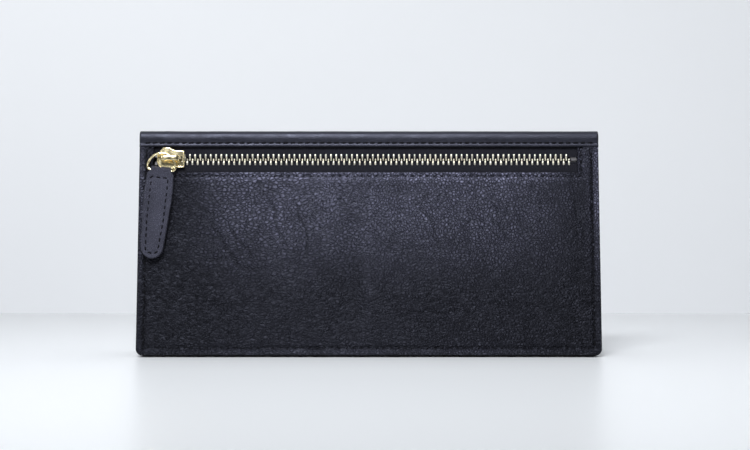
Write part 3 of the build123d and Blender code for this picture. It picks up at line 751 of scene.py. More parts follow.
def make_front_panel():
    """The pebbled sheet, rounded over at its rim and round the zip window."""
    x, height = panel_grid()
    aside, _ = window_distance(x, height)
    edge_drop = roll(rim_distance(x, height, PANEL_FOOT))
    drop = np.maximum(edge_drop, roll(np.maximum(aside, 0.0), WINDOW_ROLL))
    middle_x = (x[:-1, :-1] + x[1:, 1:]) / 2
    middle_height = (height[:-1, :-1] + height[1:, 1:]) / 2
    keep = window_distance(middle_x, middle_height)[0] >= 0
    flat_x, flat_height = round_corners(x, height, PANEL_FOOT)
    raised = panel_relief(x, height)
    depth = PANEL_LOW[2] - raised + drop
    points = FRONT.at(flat_x, flat_height, depth).reshape(-1, 3)
    rest = np.stack((flat_x, flat_height, -depth), -1).reshape(-1, 3)
    made = add_object("front_panel_skin", points, quads(*x.shape, keep=keep), PEBBLED,
                      "front_leaf", rest)
    # painted light and shade: highlights on ridges and seams, shade in valleys, in the dent and beside the
    # puller
    set_tone(made, relief_light_and_shade(raised) * panel_painted_light(x, height))
    close_back(made.data, FRONT, PANEL_HIGH[2])
    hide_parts("front_pocket_panel")


# ---------------------------------------------------------------- fold: band, spine and rear cover

FOLD_RADIUS = 1.5           # of the leather's middle line, at each edge of the spine
BEND_START = -1.32          # height just below the bend
SPINE_CROWN = 0.25
SPINE_HALF = (REAR.fold[1] - FRONT.fold[1]) / 2
SPINE_MIDDLE = FRONT.fold + np.array((0.0, SPINE_HALF, 0.0))


def towards_spine(leaf):
    inward = SPINE_MIDDLE - leaf.fold
    return inward / np.linalg.norm(inward)


def fold_path(leaf, steps_down, steps_across):
    """Middle line of the leather from a height on a leaf, round the fold, to the spine's middle.

    Returns points, outward directions and the distance from the fold along the leather.
    """
    turn = math.pi / 2 - LEAN
    reach = FOLD_RADIUS * math.tan(turn / 2)
    across = towards_spine(leaf)
    centre = leaf.fold - leaf.up * reach - leaf.out * FOLD_RADIUS
    path = [(leaf.fold + leaf.up * height, leaf.out, height) for height in steps_down]
    for angle in np.linspace(0, turn, 9)[1:]:
        out = leaf.out * math.cos(angle) + leaf.up * math.sin(angle)
        path.append((centre + out * FOLD_RADIUS, out, -reach + FOLD_RADIUS * angle))
    for part in steps_across:
        flat = reach + (SPINE_HALF - reach) * part
        crown = np.array((0.0, 0.0, SPINE_CROWN * float(smooth(part, 0, 1))))
        run = -reach + FOLD_RADIUS * turn + flat - reach
        path.append((leaf.fold + across * flat + crown, np.array((0.0, 0.0, 1.0)), run))
    points, outs, runs = zip(*path)
    return np.array(points), np.array(outs), np.array(runs)


def grid_border(rows, columns):
    """Places round the edge of a grid, in order."""
    last_row, last_column = rows - 1, columns - 1
    return ([(0, j) for j in range(columns)] + [(i, last_column) for i in range(1, rows)]
            + [(last_row, j) for j in range(columns - 2, -1, -1)]
            + [(i, 0) for i in range(rows - 2, 0, -1)])


def fold_sheet(name, leaf, foot, steps_down, step_across, relief, material, rounded):
    """Leather from a leaf's foot to the middle of the spine, as thick as the CAD sheet."""
    path, outs, runs = fold_path(leaf, steps_down, np.linspace(0, 1, 8)[1:])
    x, run = np.meshgrid(edge_lines(-HALF, HALF, step_across), runs)
    gap = rim_distance(x, run, foot)
    flat_x, flat_run = round_corners(x, run, foot) if rounded else (x, run)
    middle = path[:, None, :] + (flat_run - run)[..., None] * leaf.up
    raised = relief(x, run)
    lift = raised - roll(gap, 0.5)
    face = middle + outs[:, None, :] * (HINGE_DEPTH + lift)[..., None]
    back = middle - outs[:, None, :] * (HINGE_DEPTH - roll(gap, 0.25))[..., None]
    face[..., 0] = flat_x
    back[..., 0] = flat_x
    rows, columns = x.shape
    offset = rows * columns
    faces = quads(rows, columns)
    faces += [tuple(offset + k for k in reversed(one)) for one in quads(rows, columns)]
    border = [i * columns + j for i, j in grid_border(rows, columns)]
    for a, b in zip(border, border[1:] + border[:1]):
        faces.append((a, offset + a, offset + b, b))
    points = np.concatenate((face.reshape(-1, 3), back.reshape(-1, 3)))
    flat = np.stack((flat_x, flat_run, lift), -1).reshape(-1, 3)
    rest = np.concatenate((flat, flat - np.array((0.0, 0.0, LEATHER))))
    made = add_object(name, points, faces, material, None, rest)
    # painted highlight on the sheet's ridges and painted shade in its valleys
    set_tone(made, relief_light_and_shade(raised))
    outward(made.data)
    return made


def bend_with_spine(piece):
    """Bakes a piece's placement into its mesh points."""
    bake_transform(piece)


def band_relief(x, run):
    """Face of the band: its seam and a little unevenness."""
    dip = seam_dip(run - BAND_SEAM, x, 0.22, 1.0, 0.25) * (run < -1.0)
    crown = 0.28 * bump(run + 2.3, 2.6)
    return crown + 0.07 * clouds(x, run * 2.5, 9.0, 11) + 0.02 * clouds(x, run, 2.0, 12) - dip


def make_band():
    steps = np.concatenate((BAND_FOOT + NEAR_EDGE, np.linspace(BAND_FOOT + 1.0, BEND_START, 13)))
    made = fold_sheet("band_skin", FRONT, BAND_FOOT, steps, 0.6, band_relief,
                      SMOOTH, rounded=False)
    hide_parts("front_band")
    bend_with_spine(made)


COVER_FULLNESS = 0.45
COVER_CREASES = [
    ((-60, -30), (-30, -36), 0.10, 1.1, 0.7),
    ((20, -58), (62, -64), 0.12, 1.2, 1.8),
    ((-76, -66), (-58, -50), 0.12, 1.0, 2.9),
    ((70, -24), (82, -44), 0.10, 1.0, 3.7),
    ((-12, -72), (14, -78), 0.09, 1.1, 4.6),
]


def cover_relief(x, run):
    """Face of the rear cover: fullness, edge seam and creases, flat over the fold."""
    on_leaf = 1 - smooth(run, -9, -3)
    raised = COVER_FULLNESS * fullness(x, run, COVER_FOOT, -4.0) + cloud_relief(x, run, 21)
    raised = (raised - all_creases(x, run, COVER_CREASES)) * on_leaf
    raised = raised + 0.03 * clouds(x, run, 5.0, 27) * (1 - on_leaf)
    return raised - edge_seam_dip(x, run, COVER_FOOT, COVER_SEAM_TOP - 0.5)


def make_rear_cover():
    long_run = np.linspace(COVER_FOOT + NEAR_EDGE[-1], BEND_START, 150)
    steps = np.concatenate((COVER_FOOT + NEAR_EDGE[:-1], long_run))
    made = fold_sheet("rear_cover_skin", REAR, COVER_FOOT, steps, 0.65, cover_relief,
                      SHELL, rounded=True)
    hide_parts("rear_cover", "spine_leather")
    bend_with_spine(made)


# ---------------------------------------------------------------- stitches

STITCH_LENGTH = 2.3
STITCH_RADIUS = 0.38
INNER_STITCH_RADIUS = 0.26
INNER_SINK = 0.15           # how far the inner stitches sit in, so that the shut leaves clear them
SEAM_FLOOR = 0.02           # how far the outer stitches sit in
BAND_SEAM_INSET = 1.6


def stitch_form(length, radius, sides=8, rings=7):
    """One stitch along +X: a thread that rises out of one hole and dives into the next."""
    made = []
    angles = circle_angles(sides)
    for part in np.linspace(-1, 1, rings):
        rise = 0.06 - 0.34 * abs(part) ** 3
        girth = radius * (1 - 0.45 * abs(part) ** 4)
        made.append(np.stack((np.full(sides, part * length / 2), girth * np.cos(angles),
                              rise + 0.85 * girth * np.sin(angles)), -1))
    return tube(made)


def turned_form(form, spot, way):
    """A stitch's places on its sheet when it lies at a spot and points one way."""
    across = np.array((-way[1], way[0]))
    return form[:, :1] * way + form[:, 1:2] * across + spot


def rounded_line(corners, radius):
    """Line of points through corners, cut by a curve at each."""
    corners = [np.array(c, float) for c in corners]
    points = [corners[0]]
    for before, corner, after in zip(corners, corners[1:], corners[2:]):
        into = (corner - before) / np.linalg.norm(corner - before)
        away = (after - corner) / np.linalg.norm(after - corner)
        for t in np.linspace(0, 1, 9):
            a, b = corner - into * radius * (1 - t), corner + away * radius * t
            points.append(a * (1 - t) + b * t)
    points.append(corners[-1])
    return np.array(points)


def even_stations(length):
    """Distances of whole stitches along a line, with the same gap at both ends."""
    count = int(length / STITCH_PITCH)
    start = (length - count * STITCH_PITCH) / 2 + STITCH_PITCH / 2
    return start + STITCH_PITCH * np.arange(count)


def sew(name, leaf, corners, surface, side=1, radius=STITCH_RADIUS, corner=2.0):
    """Row of stitches on a sheet. surface gives the depth of its face; side -1 is its inner face."""
    form, faces = stitch_form(STITCH_LENGTH, radius)
    batch = Batch()
    line = rounded_line(corners, corner)
    for number, (spot, way) in enumerate(places_along(line, even_stations, 0.3)):
        slant = 0.10 + 0.03 * math.sin(number * 2.4)
        c, s = math.cos(slant), math.sin(slant)
        slanted = np.array((way[0] * c - way[1] * s, way[0] * s + way[1] * c))
        flat = turned_form(form, spot, slanted)
        depth = float(surface(spot[0], spot[1])) - side * form[:, 2]
        batch.add(leaf.at(flat[:, 0], flat[:, 1], depth), faces)
    return batch.object(name, THREAD, leaf.body)


def edge_corners(foot, top):
    """Line of the seam round a leaf's sides and lower edge."""
    left, low = EDGE_INSET - HALF, foot + EDGE_INSET
    return [(left, top), (left, low), (-left, low), (-left, top)]


def face_of(relief, face_depth):
    """Depth of a modelled face at one place, on the seam's floor."""
    def depth(x, height):
        return face_depth - float(relief(np.array([x]), np.array([height]))[0]) - SEAM_FLOOR
    return depth


def make_front_stitches():
    panel_face = face_of(panel_relief, PANEL_LOW[2])
    top = PANEL_TOP - 0.6
    made = sew("front_edge_stitches", FRONT, edge_corners(PANEL_FOOT, top), panel_face)
    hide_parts("front_perimeter_thread")
    left, right = WINDOW_LEFT - WINDOW_SEAM_GAP, WINDOW_RIGHT + WINDOW_SEAM_GAP
    low = WINDOW_FOOT - WINDOW_SEAM_GAP
    corners = [(left, top), (left, low), (right, low), (right, top)]
    made = sew("zip_window_stitches", FRONT, corners, panel_face, corner=1.0)
    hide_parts("zip_window_thread")
    end = HALF - BAND_SEAM_INSET
    made = sew("band_stitches", FRONT, [(-end, BAND_SEAM), (end, BAND_SEAM)], face_of(band_relief, 0.0))
    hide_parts("band_thread")


def make_rear_stitches():
    corners = edge_corners(COVER_FOOT, COVER_SEAM_TOP)
    made = sew("rear_edge_stitches", REAR, corners, face_of(cover_relief, 0.0))
    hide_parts("rear_perimeter_thread")


def inner_depth(leaf, prefix):
    """Depth of a leaf's inner face at a height, over its stepped card slots."""
    steps = [leaf.extent(f"{prefix}_card_slot_{place}")[1] for place in ("upper", "middle", "lower")]
    base_depth = leaf.extent(f"{prefix}_inner_base")[1][2]

    def depth(x, height):
        here = [high[2] for high in steps if height < high[1] - 0.4]
        return max(here, default=base_depth) - INNER_SINK
    return depth


def make_inner_stitches():
    for leaf, prefix, foot in ((FRONT, "front", PANEL_FOOT), (REAR, "rear", COVER_FOOT)):
        depth = inner_depth(leaf, prefix)
        edge = edge_corners(foot, leaf.extent(f"{prefix}_inner_base")[1][1] - 3.0)
        sew(f"{prefix}_inner_stitches", leaf, edge, depth, -1, INNER_STITCH_RADIUS)
        slot_top = leaf.extent(f"{prefix}_card_slot_upper")[1][1]
        divider = [(0.0, slot_top - 0.5), (0.0, foot + 5.0)]
        made = sew(f"{prefix}_divider_stitches", leaf, divider, depth, -1, INNER_STITCH_RADIUS)
        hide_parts(f"{prefix}_slot_divider_thread")


# ---------------------------------------------------------------- edges

EDGE_BULGE = 0.13
LAYER_RIDGE = 0.035
LAYERS = 5                  # ridges across the edge, where the leaf's sheets meet under the paint


def edge_outline(top, foot):
    """Points and outward directions down one side of a leaf, round its foot and up the other."""
    half = [((-HALF, height), (-1.0, 0.0)) for height in np.linspace(top, foot + CORNER, 60)]
    for angle in np.linspace(math.pi, 1.5 * math.pi, 8)[1:]:
        a, b = math.cos(angle), math.sin(angle)
        half.append(((CORNER - HALF + CORNER * a, foot + CORNER + CORNER * b), (a, b)))
    return half + [((-x, height), (-a, b)) for (x, height), (a, b) in reversed(half)]


def make_edge_paint(name, leaf, top, foot, outer, inner):
    """Painted band round the edges of a leaf's stack, with faint ridges at its layers."""
    across = np.linspace(0, 1, 22)
    bulge = EDGE_BULGE * (1 - (2 * across - 1) ** 6)
    bulge = bulge + LAYER_RIDGE * np.cos(across * 2 * math.pi * LAYERS)
    raised = np.concatenate((bulge, [-0.4, -0.4]))
    depth = outer + (inner - outer) * np.concatenate((across, [1.0, 0.0]))
    rings = [leaf.at(x + a * raised, height + b * raised, depth)
             for (x, height), (a, b) in edge_outline(top, foot)]
    tube_object(name, rings, EDGE, leaf.body)


def make_edges():
    front_inner = FRONT.extent("front_inner_base")[1][2] - 0.15
    rear_inner = REAR.extent("rear_inner_base")[1][2] - 0.15
    make_edge_paint("front_edge_paint", FRONT, PANEL_TOP, PANEL_FOOT, PANEL_HIGH[2] - 0.1, front_inner)
    make_edge_paint("rear_edge_paint", REAR, COVER_SEAM_TOP, COVER_FOOT, LEATHER - 0.1, rear_inner)


# ---------------------------------------------------------------- zip

LOWER_LOW, LOWER_HIGH = FRONT.extent("zip_teeth_lower")
UPPER_HIGH = FRONT.extent("zip_teeth_upper")[1]
CHAIN = (LOWER_LOW[1] + UPPER_HIGH[1]) / 2
CHAIN_HALF = UPPER_HIGH[1] - CHAIN
TOOTH_MIDDLE = (LOWER_LOW[2] + LOWER_HIGH[2]) / 2
TOOTH_PITCH = 2.165
TOOTH_COUNT = 77            # in each row
TOOTH_WIDTH = 0.95

# A tooth from its clamped outer end to its coupling nub: reach, width and thickness
TOOTH_STATIONS = [
    (0.00, 0.55, 1.20), (0.10, 0.72, 1.80), (0.35, 0.78, 1.98), (1.45, 0.74, 1.98),
    (1.72, 0.56, 1.75), (1.92, 0.40, 1.40), (2.15, 0.44, 1.35), (2.45, 0.66, 1.45),
    (2.65, 0.62, 1.35), (2.76, 0.30, 0.80),
]


def tooth_form():
    rings = []
    for reach, width, thick in TOOTH_STATIONS:
        section = rounded_section(width, thick, 0.3, 2)
        rings.append(np.stack((section[:, 0], np.full(len(section), reach), section[:, 1]), -1))
    return tube(rings)


def make_teeth():
    form, faces = tooth_form()
    for place, side, right_end in (("upper", 1, UPPER_HIGH[0]), ("lower", -1, LOWER_HIGH[0])):
        batch = Batch()
        last = right_end - TOOTH_WIDTH / 2
        height = CHAIN + side * (CHAIN_HALF - form[:, 1])
        for number in range(TOOTH_COUNT):
            x = last - number * TOOTH_PITCH + form[:, 0]
            batch.add(FRONT.at(x, height, TOOTH_MIDDLE + form[:, 2]), faces)
        made = batch.object(f"teeth_{place}", TEETH, "front_leaf")
        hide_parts(f"zip_teeth_{place}")


def make_tape_cords():
    """Beaded edges of the two tapes, which the teeth grip."""
    angles = circle_angles(8)
    for place, side in (("upper", 1), ("lower", -1)):
        low, high = FRONT.extent(f"zip_tape_{place}")
        edge = low[1] if side > 0 else high[1]
        middle = (low[2] + high[2]) / 2
        rings = []
        for x in np.linspace(low[0] + 0.5, high[0] - 0.5, 360):
            girth = 0.42 + 0.03 * math.sin(x * 9.0)
            height = edge + side * 0.35 + girth * np.cos(angles)
            rings.append(FRONT.at(x, height, middle + girth * np.sin(angles)))
        tube_object(f"tape_cord_{place}", rings, TAPE, "front_leaf",
                    rest_of=lambda points: points[:, [0, 2, 1]])


# ---------------------------------------------------------------- slider

SLIDER_LOW, SLIDER_HIGH = FRONT.extent("slider_body")
CAP_LOW, CAP_HIGH = FRONT.extent("slider_cap")
BRIDGE_THICK = 0.92
BRIDGE_BEND = 0.9           # radius of its two bends
BRIDGE_INSET = 0.47         # from the CAD cap's outside to the bar's middle line

# Half of the face plate's outline, from the nose backwards: distance back, and half width
PLATE_OUTLINE = [
    (0.0, 1.3), (0.35, 2.3), (1.2, 3.3), (2.0, 4.3), (2.9, 4.82), (4.0, 4.86), (5.2, 4.75),
    (6.2, 4.1), (7.1, 3.6), (8.2, 3.5), (9.6, 3.5), (10.9, 3.5), (11.25, 3.4), (11.4, 3.1),
]
LIP_SECTION = np.array([(0.0, -0.12), (0.02, 0.02), (0.10, 0.08), (0.26, 0.10), (0.42, 0.08),
                        (0.54, 0.01), (0.56, -0.12)])


def make_slider_rim():
    """Raised lip round the slider's face plate."""
    nose, tail = SLIDER_LOW[0], SLIDER_HIGH[0]
    half = [(nose + back, wide) for back, wide in PLATE_OUTLINE]
    loop = np.array(half + [(x, -wide) for x, wide in reversed(half)])
    centre = np.array(((nose + tail) / 2, 0.0))
    rings = []
    for before, here, after in zip(np.roll(loop, 1, 0), loop, np.roll(loop, -1, 0)):
        way = (after - before) / np.linalg.norm(after - before)
        inward = np.array((way[1], -way[0]))
        if np.dot(inward, centre - here) < 0:
            inward = -inward
        ring = here + inward * LIP_SECTION[:, :1]
        rings.append(FRONT.at(ring[:, 0], CHAIN + ring[:, 1], SLIDER_LOW[2] - LIP_SECTION[:, 1]))
    tube_object("slider_rim", rings, GOLD, "slider", closed=True)


def bridge_path(left, right, top):
    """Points (x, rise) and directions along the bridge: up, over and down."""
    low = top - BRIDGE_BEND
    path = [((left, rise), (0.0, 1.0)) for rise in (0.0, 0.7, 1.4, low)]
    turns = [(math.cos(a), math.sin(a)) for a in np.linspace(0, math.pi / 2, 6)[1:]]
    for c, s in turns:
        path.append(((left + BRIDGE_BEND - BRIDGE_BEND * c, low + BRIDGE_BEND * s), (s, c)))
    for x in np.linspace(left + BRIDGE_BEND, right - BRIDGE_BEND, 7)[1:]:
        path.append(((x, top), (1.0, 0.0)))
    for c, s in turns:
        path.append(((right - BRIDGE_BEND + BRIDGE_BEND * s, low + BRIDGE_BEND * c), (c, -s)))
    return path + [((right, rise), (0.0, -1.0)) for rise in (1.4, 0.7, 0.0)]


def make_slider_bridge():
    """Bridge over the ring: a bar with rounded shoulders and two feet, wider at its tail."""
    left, right = CAP_LOW[0] + BRIDGE_INSET, CAP_HIGH[0] - BRIDGE_INSET
    top = SLIDER_LOW[2] - CAP_LOW[2] - BRIDGE_INSET
    rings = []
    for (x, rise), (along_x, along_rise) in bridge_path(left, right, top):
        wide = 1.75 + 0.45 * float(smooth(x, left, right))
        section = rounded_section(wide, BRIDGE_THICK, 0.24)
        depth = SLIDER_LOW[2] - (rise + section[:, 1] * along_x)
        rings.append(FRONT.at(x - section[:, 1] * along_rise, CHAIN + section[:, 0], depth))
    made = tube_object("slider_bridge", rings, GOLD, "slider")
    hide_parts("slider_cap")


# ---------------------------------------------------------------- ring and puller

PULL_ORIGIN = joint_place("puller_swing")
PULL_ACROSS = -np.array(JOINTS["puller_swing"]["axis"], float)
PULL_UP = np.cross(FRONT.out, PULL_ACROSS)
WIRE_RADIUS = 0.5
RING_RADIUS = 5.7
RING_CORNER = 1.5


def pull_at(across, up, out):
    """Points in the puller's plane."""
    across, up, out = np.broadcast_arrays(across, up, out)
    flat = across[..., None] * PULL_ACROSS + up[..., None] * PULL_UP
    return PULL_ORIGIN + flat + out[..., None] * FRONT.out


def pull_rest(points):
    """Points seen in the puller's own directions, for its texture."""
    local = points - PULL_ORIGIN
    return np.stack((local @ PULL_ACROSS, local @ PULL_UP, local @ FRONT.out), -1)


def arc(x, radius, start, stop, count):
    """Points of an arc whose centre lies at x, one corner radius above the ring's straight side."""
    return [(x + radius * math.cos(a), RING_CORNER + radius * math.sin(a))
            for a in np.linspace(start, stop, count)[:-1]]


def ring_path():
    """Middle line of the D-shaped wire: straight side, two corners and a half circle."""
    straight = RING_RADIUS - RING_CORNER
    path = [(x, 0.0) for x in np.linspace(-straight, straight, 10)[:-1]]
    path += arc(straight, RING_CORNER, -math.pi / 2, 0, 8)
    path += arc(0.0, RING_RADIUS, 0, math.pi, 40)
    path += arc(-straight, RING_CORNER, math.pi, 1.5 * math.pi, 8)
    return np.array(path)


def make_ring():
    path = ring_path()
    angles = circle_angles(14)
    rings = []
    for before, here, after in zip(np.roll(path, 1, 0), path, np.roll(path, -1, 0)):
        way = (after - before) / np.linalg.norm(after - before)
        side = np.array((way[1], -way[0]))
        flat = here + side * (WIRE_RADIUS * np.cos(angles))[:, None]
        rings.append(pull_at(flat[:, 0], flat[:, 1], WIRE_RADIUS * np.sin(angles)))
    made = tube_object("ring_wire", rings, GOLD, "ring", closed=True)
    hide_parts("pull_ring")


PULLER_END = -36.6          # height of the puller's lower end, from the ring's straight side
PULLER_SKIN = 0.9
PULLER_FILLER_HALF = 0.4
PULLER_NECK = 4.1           # half width
PULLER_TIP = 4.6            # length of the rounded end
LOOP_RADIUS = 0.62 + PULLER_SKIN / 2
PULLER_SEAM_INSET = 1.9
PULLER_SEAM_TOP = -3.2
PULLER_PITCH = 2.75
NARROWEST = 0.02            # half width of the last ring of a rounded end


def puller_half_width(up):
    """Half width of the puller at a height: narrow neck, shoulders, long taper, round end."""
    up = np.asarray(up, float)
    blade = 5.45 + 0.35 * smooth(-up, 1.0, 9.0)
    blade = blade - 0.62 * smooth(-up, 9.0, 26.0) - 0.75 * smooth(-up, 20.0, 36.0)
    tip = np.clip((up - PULLER_END) / PULLER_TIP, 0, 1)
    blade = blade * np.sqrt(np.clip(1 - (1 - tip) ** 2.1, 0, 1))
    return PULLER_NECK + (blade - PULLER_NECK) * smooth(-up, 0.55, 1.75)


def puller_rise(across, up, half):
    """Padding of the puller's faces, with the valley of its seam."""
    rim = np.minimum(half - np.abs(across), (up - PULLER_END) * 0.9)
    valley = 0.16 * bump(rim - PULLER_SEAM_INSET, 0.8) * smooth(-up, 2.0, 3.2)
    valley = valley + 0.16 * bump(up - PULLER_SEAM_TOP, 0.8) * (rim > PULLER_SEAM_INSET)
    inside = smooth(rim, PULLER_SEAM_INSET, PULLER_SEAM_INSET + 2.0)
    return 0.20 * inside * smooth(-up, 3.2, 6.0) - valley - roll(rim, 0.45)


def puller_heights(top, count):
    """Heights from the puller's end to a top, closer together over its round end."""
    turns = 1 - np.cos(np.linspace(0, math.pi / 2, 16))
    return np.concatenate((PULLER_END + PULLER_TIP * turns[:-1],
                           np.linspace(PULLER_END + PULLER_TIP, top, count)))


def make_puller():
    """Leather strip folded round the ring's straight side and sewn to itself over a filler."""
    layer = PULLER_FILLER_HALF + PULLER_SKIN / 2
    down = puller_heights(-1.8, 60)
    stations = [(up, layer, 0.0) for up in down]
    for angle in np.linspace(0, math.pi, 17):
        stations.append((LOOP_RADIUS * math.sin(angle), LOOP_RADIUS * math.cos(angle), angle))
    stations += [(up, -layer, math.pi) for up in down[::-1]]
    columns = np.sin(np.linspace(-math.pi / 2, math.pi / 2, 27))
    rings = []
    for up, out, angle in stations:
        half = float(puller_half_width(up))
        across = columns * max(half, NARROWEST)
        outer = PULLER_SKIN / 2 + puller_rise(across, np.full_like(across, up), half)
        inner = -PULLER_SKIN / 2 + 0.25 * roll(half - np.abs(across), 0.3)
        thick = np.concatenate((outer, inner[::-1]))
        wide = np.concatenate((across, across[::-1]))
        rings.append(pull_at(wide, up + thick * math.sin(angle), out + thick * math.cos(angle)))
    made = tube_object("puller_skin", rings, PULLER, "puller", rest_of=pull_rest)
    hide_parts("puller_leather")


def make_puller_core():
    """Filler between the puller's two layers; its painted edge shows all round."""
    inset = 0.12
    rings = []
    for up in puller_heights(-1.9, 40):
        half = max(float(puller_half_width(up)) - inset, NARROWEST)
        section = rounded_section(2 * half, 2 * PULLER_FILLER_HALF + 0.1, 0.2)
        rings.append(pull_at(section[:, 0], max(up, PULLER_END + inset), section[:, 1]))
    made = tube_object("puller_core", rings, EDGE, "puller")
    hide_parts("puller_filler")


def puller_seam():
    """Closed line of the stitches inside the puller's edge."""
    low = PULLER_END + PULLER_SEAM_INSET
    heights = np.linspace(PULLER_SEAM_TOP, low, 60)
    half = np.clip(puller_half_width(heights) - PULLER_SEAM_INSET, 0, None)
    tip = np.clip((heights - low) / 2.6, 0, 1)
    half = np.minimum(half, 3.0 * np.sqrt(1 - (1 - tip) ** 2) + 0.4 * tip)
    right = list(zip(half, heights))
    left = [(-a, b) for a, b in reversed(right[:-1])]
    return np.array(right + left + [right[0]])


def puller_stations(length):
    """Distances of the stitches that fill a closed line evenly."""
    count = int(round(length / PULLER_PITCH))
    return length * (np.arange(count) + 0.5) / count


def make_puller_stitches():
    form, faces = stitch_form(2.0, 0.30)
    face = PULLER_FILLER_HALF + PULLER_SKIN - 0.14
    batch = Batch()
    for spot, way in places_along(puller_seam(), puller_stations, 0.4):
        flat = turned_form(form, spot, way)
        batch.add(pull_at(flat[:, 0], flat[:, 1], face + form[:, 2]), faces)
        batch.add(pull_at(flat[:, 0], flat[:, 1], -face - form[:, 2]), faces)
    made = batch.object("puller_stitches", THREAD, "puller")
    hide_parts("puller_thread")


# ---------------------------------------------------------------- CAD nodes that stay

# Leaf, material, width of the rounding of its edges, and names
NODE_FINISHES = [
    (FRONT, INNER, 0.18, ["pocket_welt_left", "pocket_welt_right", "pocket_welt_bottom",
                          "pocket_welt_top", "front_inner_base", "front_card_slot_upper",
                          "front_card_slot_middle", "front_card_slot_lower"]),
    (REAR, INNER, 0.18, ["note_welt_left", "note_welt_right", "note_welt_bottom",
                         "rear_inner_base", "rear_card_slot_upper", "rear_card_slot_middle",
                         "rear_card_slot_lower"]),
    (FRONT, LINING, 0.0, ["front_pocket_lining", "pocket_lining_back"]),
    (REAR, LINING, 0.0, ["rear_lining"]),
    (FRONT, LINING, 0.08, ["spine_lining"]),
    (FRONT, TAPE, 0.0, ["zip_tape_upper", "zip_tape_lower"]),
    (FRONT, BOARD, 0.0, ["band_stiffener", "front_board"]),
    (REAR, BOARD, 0.0, ["rear_board"]),
    (FRONT, STOP, 0.15, ["zip_top_stops"]),
    (FRONT, STOP, 0.12, ["zip_bottom_stop"]),
    (FRONT, GOLD, 0.14, ["slider_body"]),
    (FRONT, STEEL, 0.06, ["slider_lock_spring"]),
]


def finish_node(name, material, leaf, bevel):
    """Gives a CAD node its material and softly rounded edges."""
    node = frame["nodes"][name]
    points = node_points(name)
    local = points - leaf.fold
    store_rest(node.data, np.stack((points[:, 0], local @ leaf.up, local @ leaf.out), -1))
    node.data.materials.clear()
    node.data.materials.append(material)
    if bevel:
        rounding = node.modifiers.new("edges", "BEVEL")
        rounding.width = bevel * MM
        rounding.segments = 3
        rounding.limit_method = "ANGLE"
        rounding.angle_limit = math.radians(35)
        rounding.harden_normals = False


def finish_cad_nodes():
    for leaf, material, bevel, names in NODE_FINISHES:
        for name in names:
            finish_node(name, material, leaf, bevel)


# ---------------------------------------------------------------- stage, light and camera

# All sizes from here on are metres.
TABLE_END = 0.30
TABLE_ROUNDING = 0.004
WALL_END = 1.9
WALL_FOOT = -0.5
WALL_ROUNDING = 0.25
CAMERA_X = 0.0025
CAMERA_HEIGHT = 0.0539
CAMERA_BACK = 0.640         # from the wallet's front edge
LENS = 75.5                 # millimetres, on a sensor 36 wide
COOL_LIGHT = (0.94, 0.97, 1.0)
WALL_LIGHT = (0.96, 0.98, 1.0)
ROOM_LIGHT = (0.93, 0.96, 1.0, 1)
ROOM_STRENGTH = 0.10

# Name, place, target, size, power in watts, colour, and spread in degrees
LIGHTS = [
    ("key", (-0.10, -0.62, 0.60), (0, 0, 0.06), (0.3, 0.22), 1.35, COOL_LIGHT, 70),
    ("side", (-0.75, -0.55, 0.45), (0, 0, 0.05), (0.4, 0.4), 1.3, COOL_LIGHT, 180),
    ("overhead", (0.0, 0.02, 1.1), (0, 0.02, 0.0), (1.8, 1.4), 6.3, COOL_LIGHT, 180),
    ("wall_wash", (-0.15, 0.80, 0.75), (0, WALL_END, 0.0), (3.4, 0.3), 22.3, WALL_LIGHT, 180),
    ("table_back", (0.0, 0.18, 0.55), (0, 0.22, 0.0), (1.8, 0.15), 0.6, COOL_LIGHT, 180),
]


def stage_material(name, colour, roughness):
    shade = Shade(name)
    place = shade.add("ShaderNodeTexCoord").outputs["Object"]
    tone = shade.ramp(shade.clouds(place, 0.5), 0.2, 0.8, 0.985, 1.0)
    return shade.finish(shade.vector("SCALE", colour, scale=tone), roughness)


def stage_sheet(name, profile, half_width, material):
    """Sheet drawn from a side profile of (y, z) points, swept across."""
    points = [(x, y, z) for y, z in profile for x in (-half_width, half_width)]
    mesh = bpy.data.meshes.new(name)
    mesh.from_pydata(points, [], quads(len(profile), 2))
    mesh.polygons.foreach_set("use_smooth", [True] * len(mesh.polygons))
    mesh.materials.append(material)
    made = bpy.data.objects.new(name, mesh)
    bpy.context.scene.collection.objects.link(made)


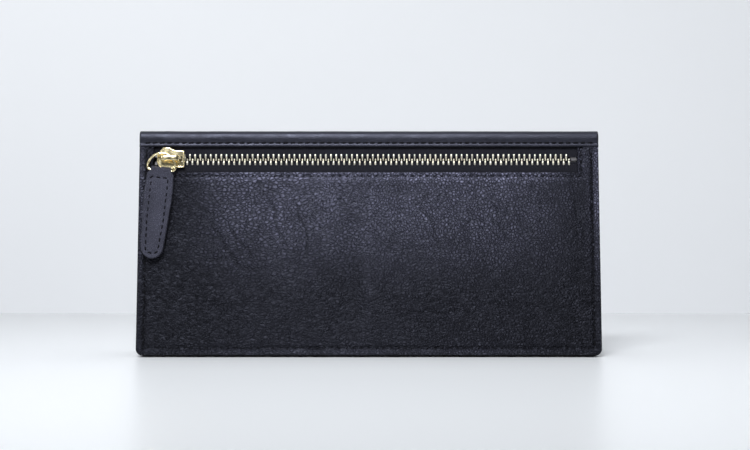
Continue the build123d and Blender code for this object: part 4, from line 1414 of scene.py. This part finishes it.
def make_stage():
    """A table top with a rounded back edge, and a wall beyond it that curves up from its foot."""
    table = stage_material("table_top", (0.82, 0.83, 0.845), 0.36)
    wall = stage_material("backdrop", (0.80, 0.81, 0.83), 0.8)
    edge = [(TABLE_END + TABLE_ROUNDING * math.sin(a), TABLE_ROUNDING * (math.cos(a) - 1))
            for a in np.linspace(0, math.pi / 2, 6)]
    foot = [(TABLE_END + TABLE_ROUNDING, WALL_FOOT)]
    stage_sheet("table", [(-3.0, 0.0)] + edge + foot, 3.0, table)
    curve = [(WALL_END + WALL_ROUNDING * (math.sin(a) - 1), WALL_FOOT + WALL_ROUNDING * (1 - math.cos(a)))
             for a in np.linspace(0, math.pi / 2, 16)]
    stage_sheet("backdrop", [(TABLE_END, WALL_FOOT)] + curve + [(WALL_END, 3.0)], 3.5, wall)


def add_light(name, place, target, size, power, colour, spread):
    data = bpy.data.lights.new(name, "AREA")
    data.shape = "RECTANGLE"
    data.size, data.size_y = size
    data.energy = power
    data.color = colour
    data.spread = math.radians(spread)
    lamp = bpy.data.objects.new(name, data)
    lamp.location = place
    lamp.rotation_mode = "QUATERNION"
    lamp.rotation_quaternion = (Vector(target) - Vector(place)).to_track_quat("-Z", "Y")
    bpy.context.scene.collection.objects.link(lamp)


def light_scene():
    for light in LIGHTS:
        add_light(*light)
    world = bpy.data.worlds.new("room")
    world.use_nodes = True
    background = world.node_tree.nodes["Background"]
    background.inputs["Color"].default_value = ROOM_LIGHT
    background.inputs["Strength"].default_value = ROOM_STRENGTH
    bpy.context.scene.world = world
    bpy.context.scene.view_settings.view_transform = "Standard"


def make_camera():
    data = bpy.data.cameras.new("camera")
    data.lens = LENS
    data.sensor_width = 36.0
    camera = bpy.data.objects.new("camera", data)
    camera.location = (CAMERA_X, CAD_BOX[0].y - CAMERA_BACK, CAMERA_HEIGHT)
    camera.rotation_euler = (math.pi / 2, 0, 0)
    bpy.context.scene.collection.objects.link(camera)
    bpy.context.scene.camera = camera


# ---------------------------------------------------------------- build

make_front_panel()
make_band()
make_rear_cover()
make_front_stitches()
make_rear_stitches()
make_inner_stitches()
make_edges()
make_tape_cords()
make_teeth()
make_slider_rim()
make_slider_bridge()
make_ring()
make_puller()
make_puller_core()
make_puller_stitches()
finish_cad_nodes()
make_stage()
light_scene()
make_camera()
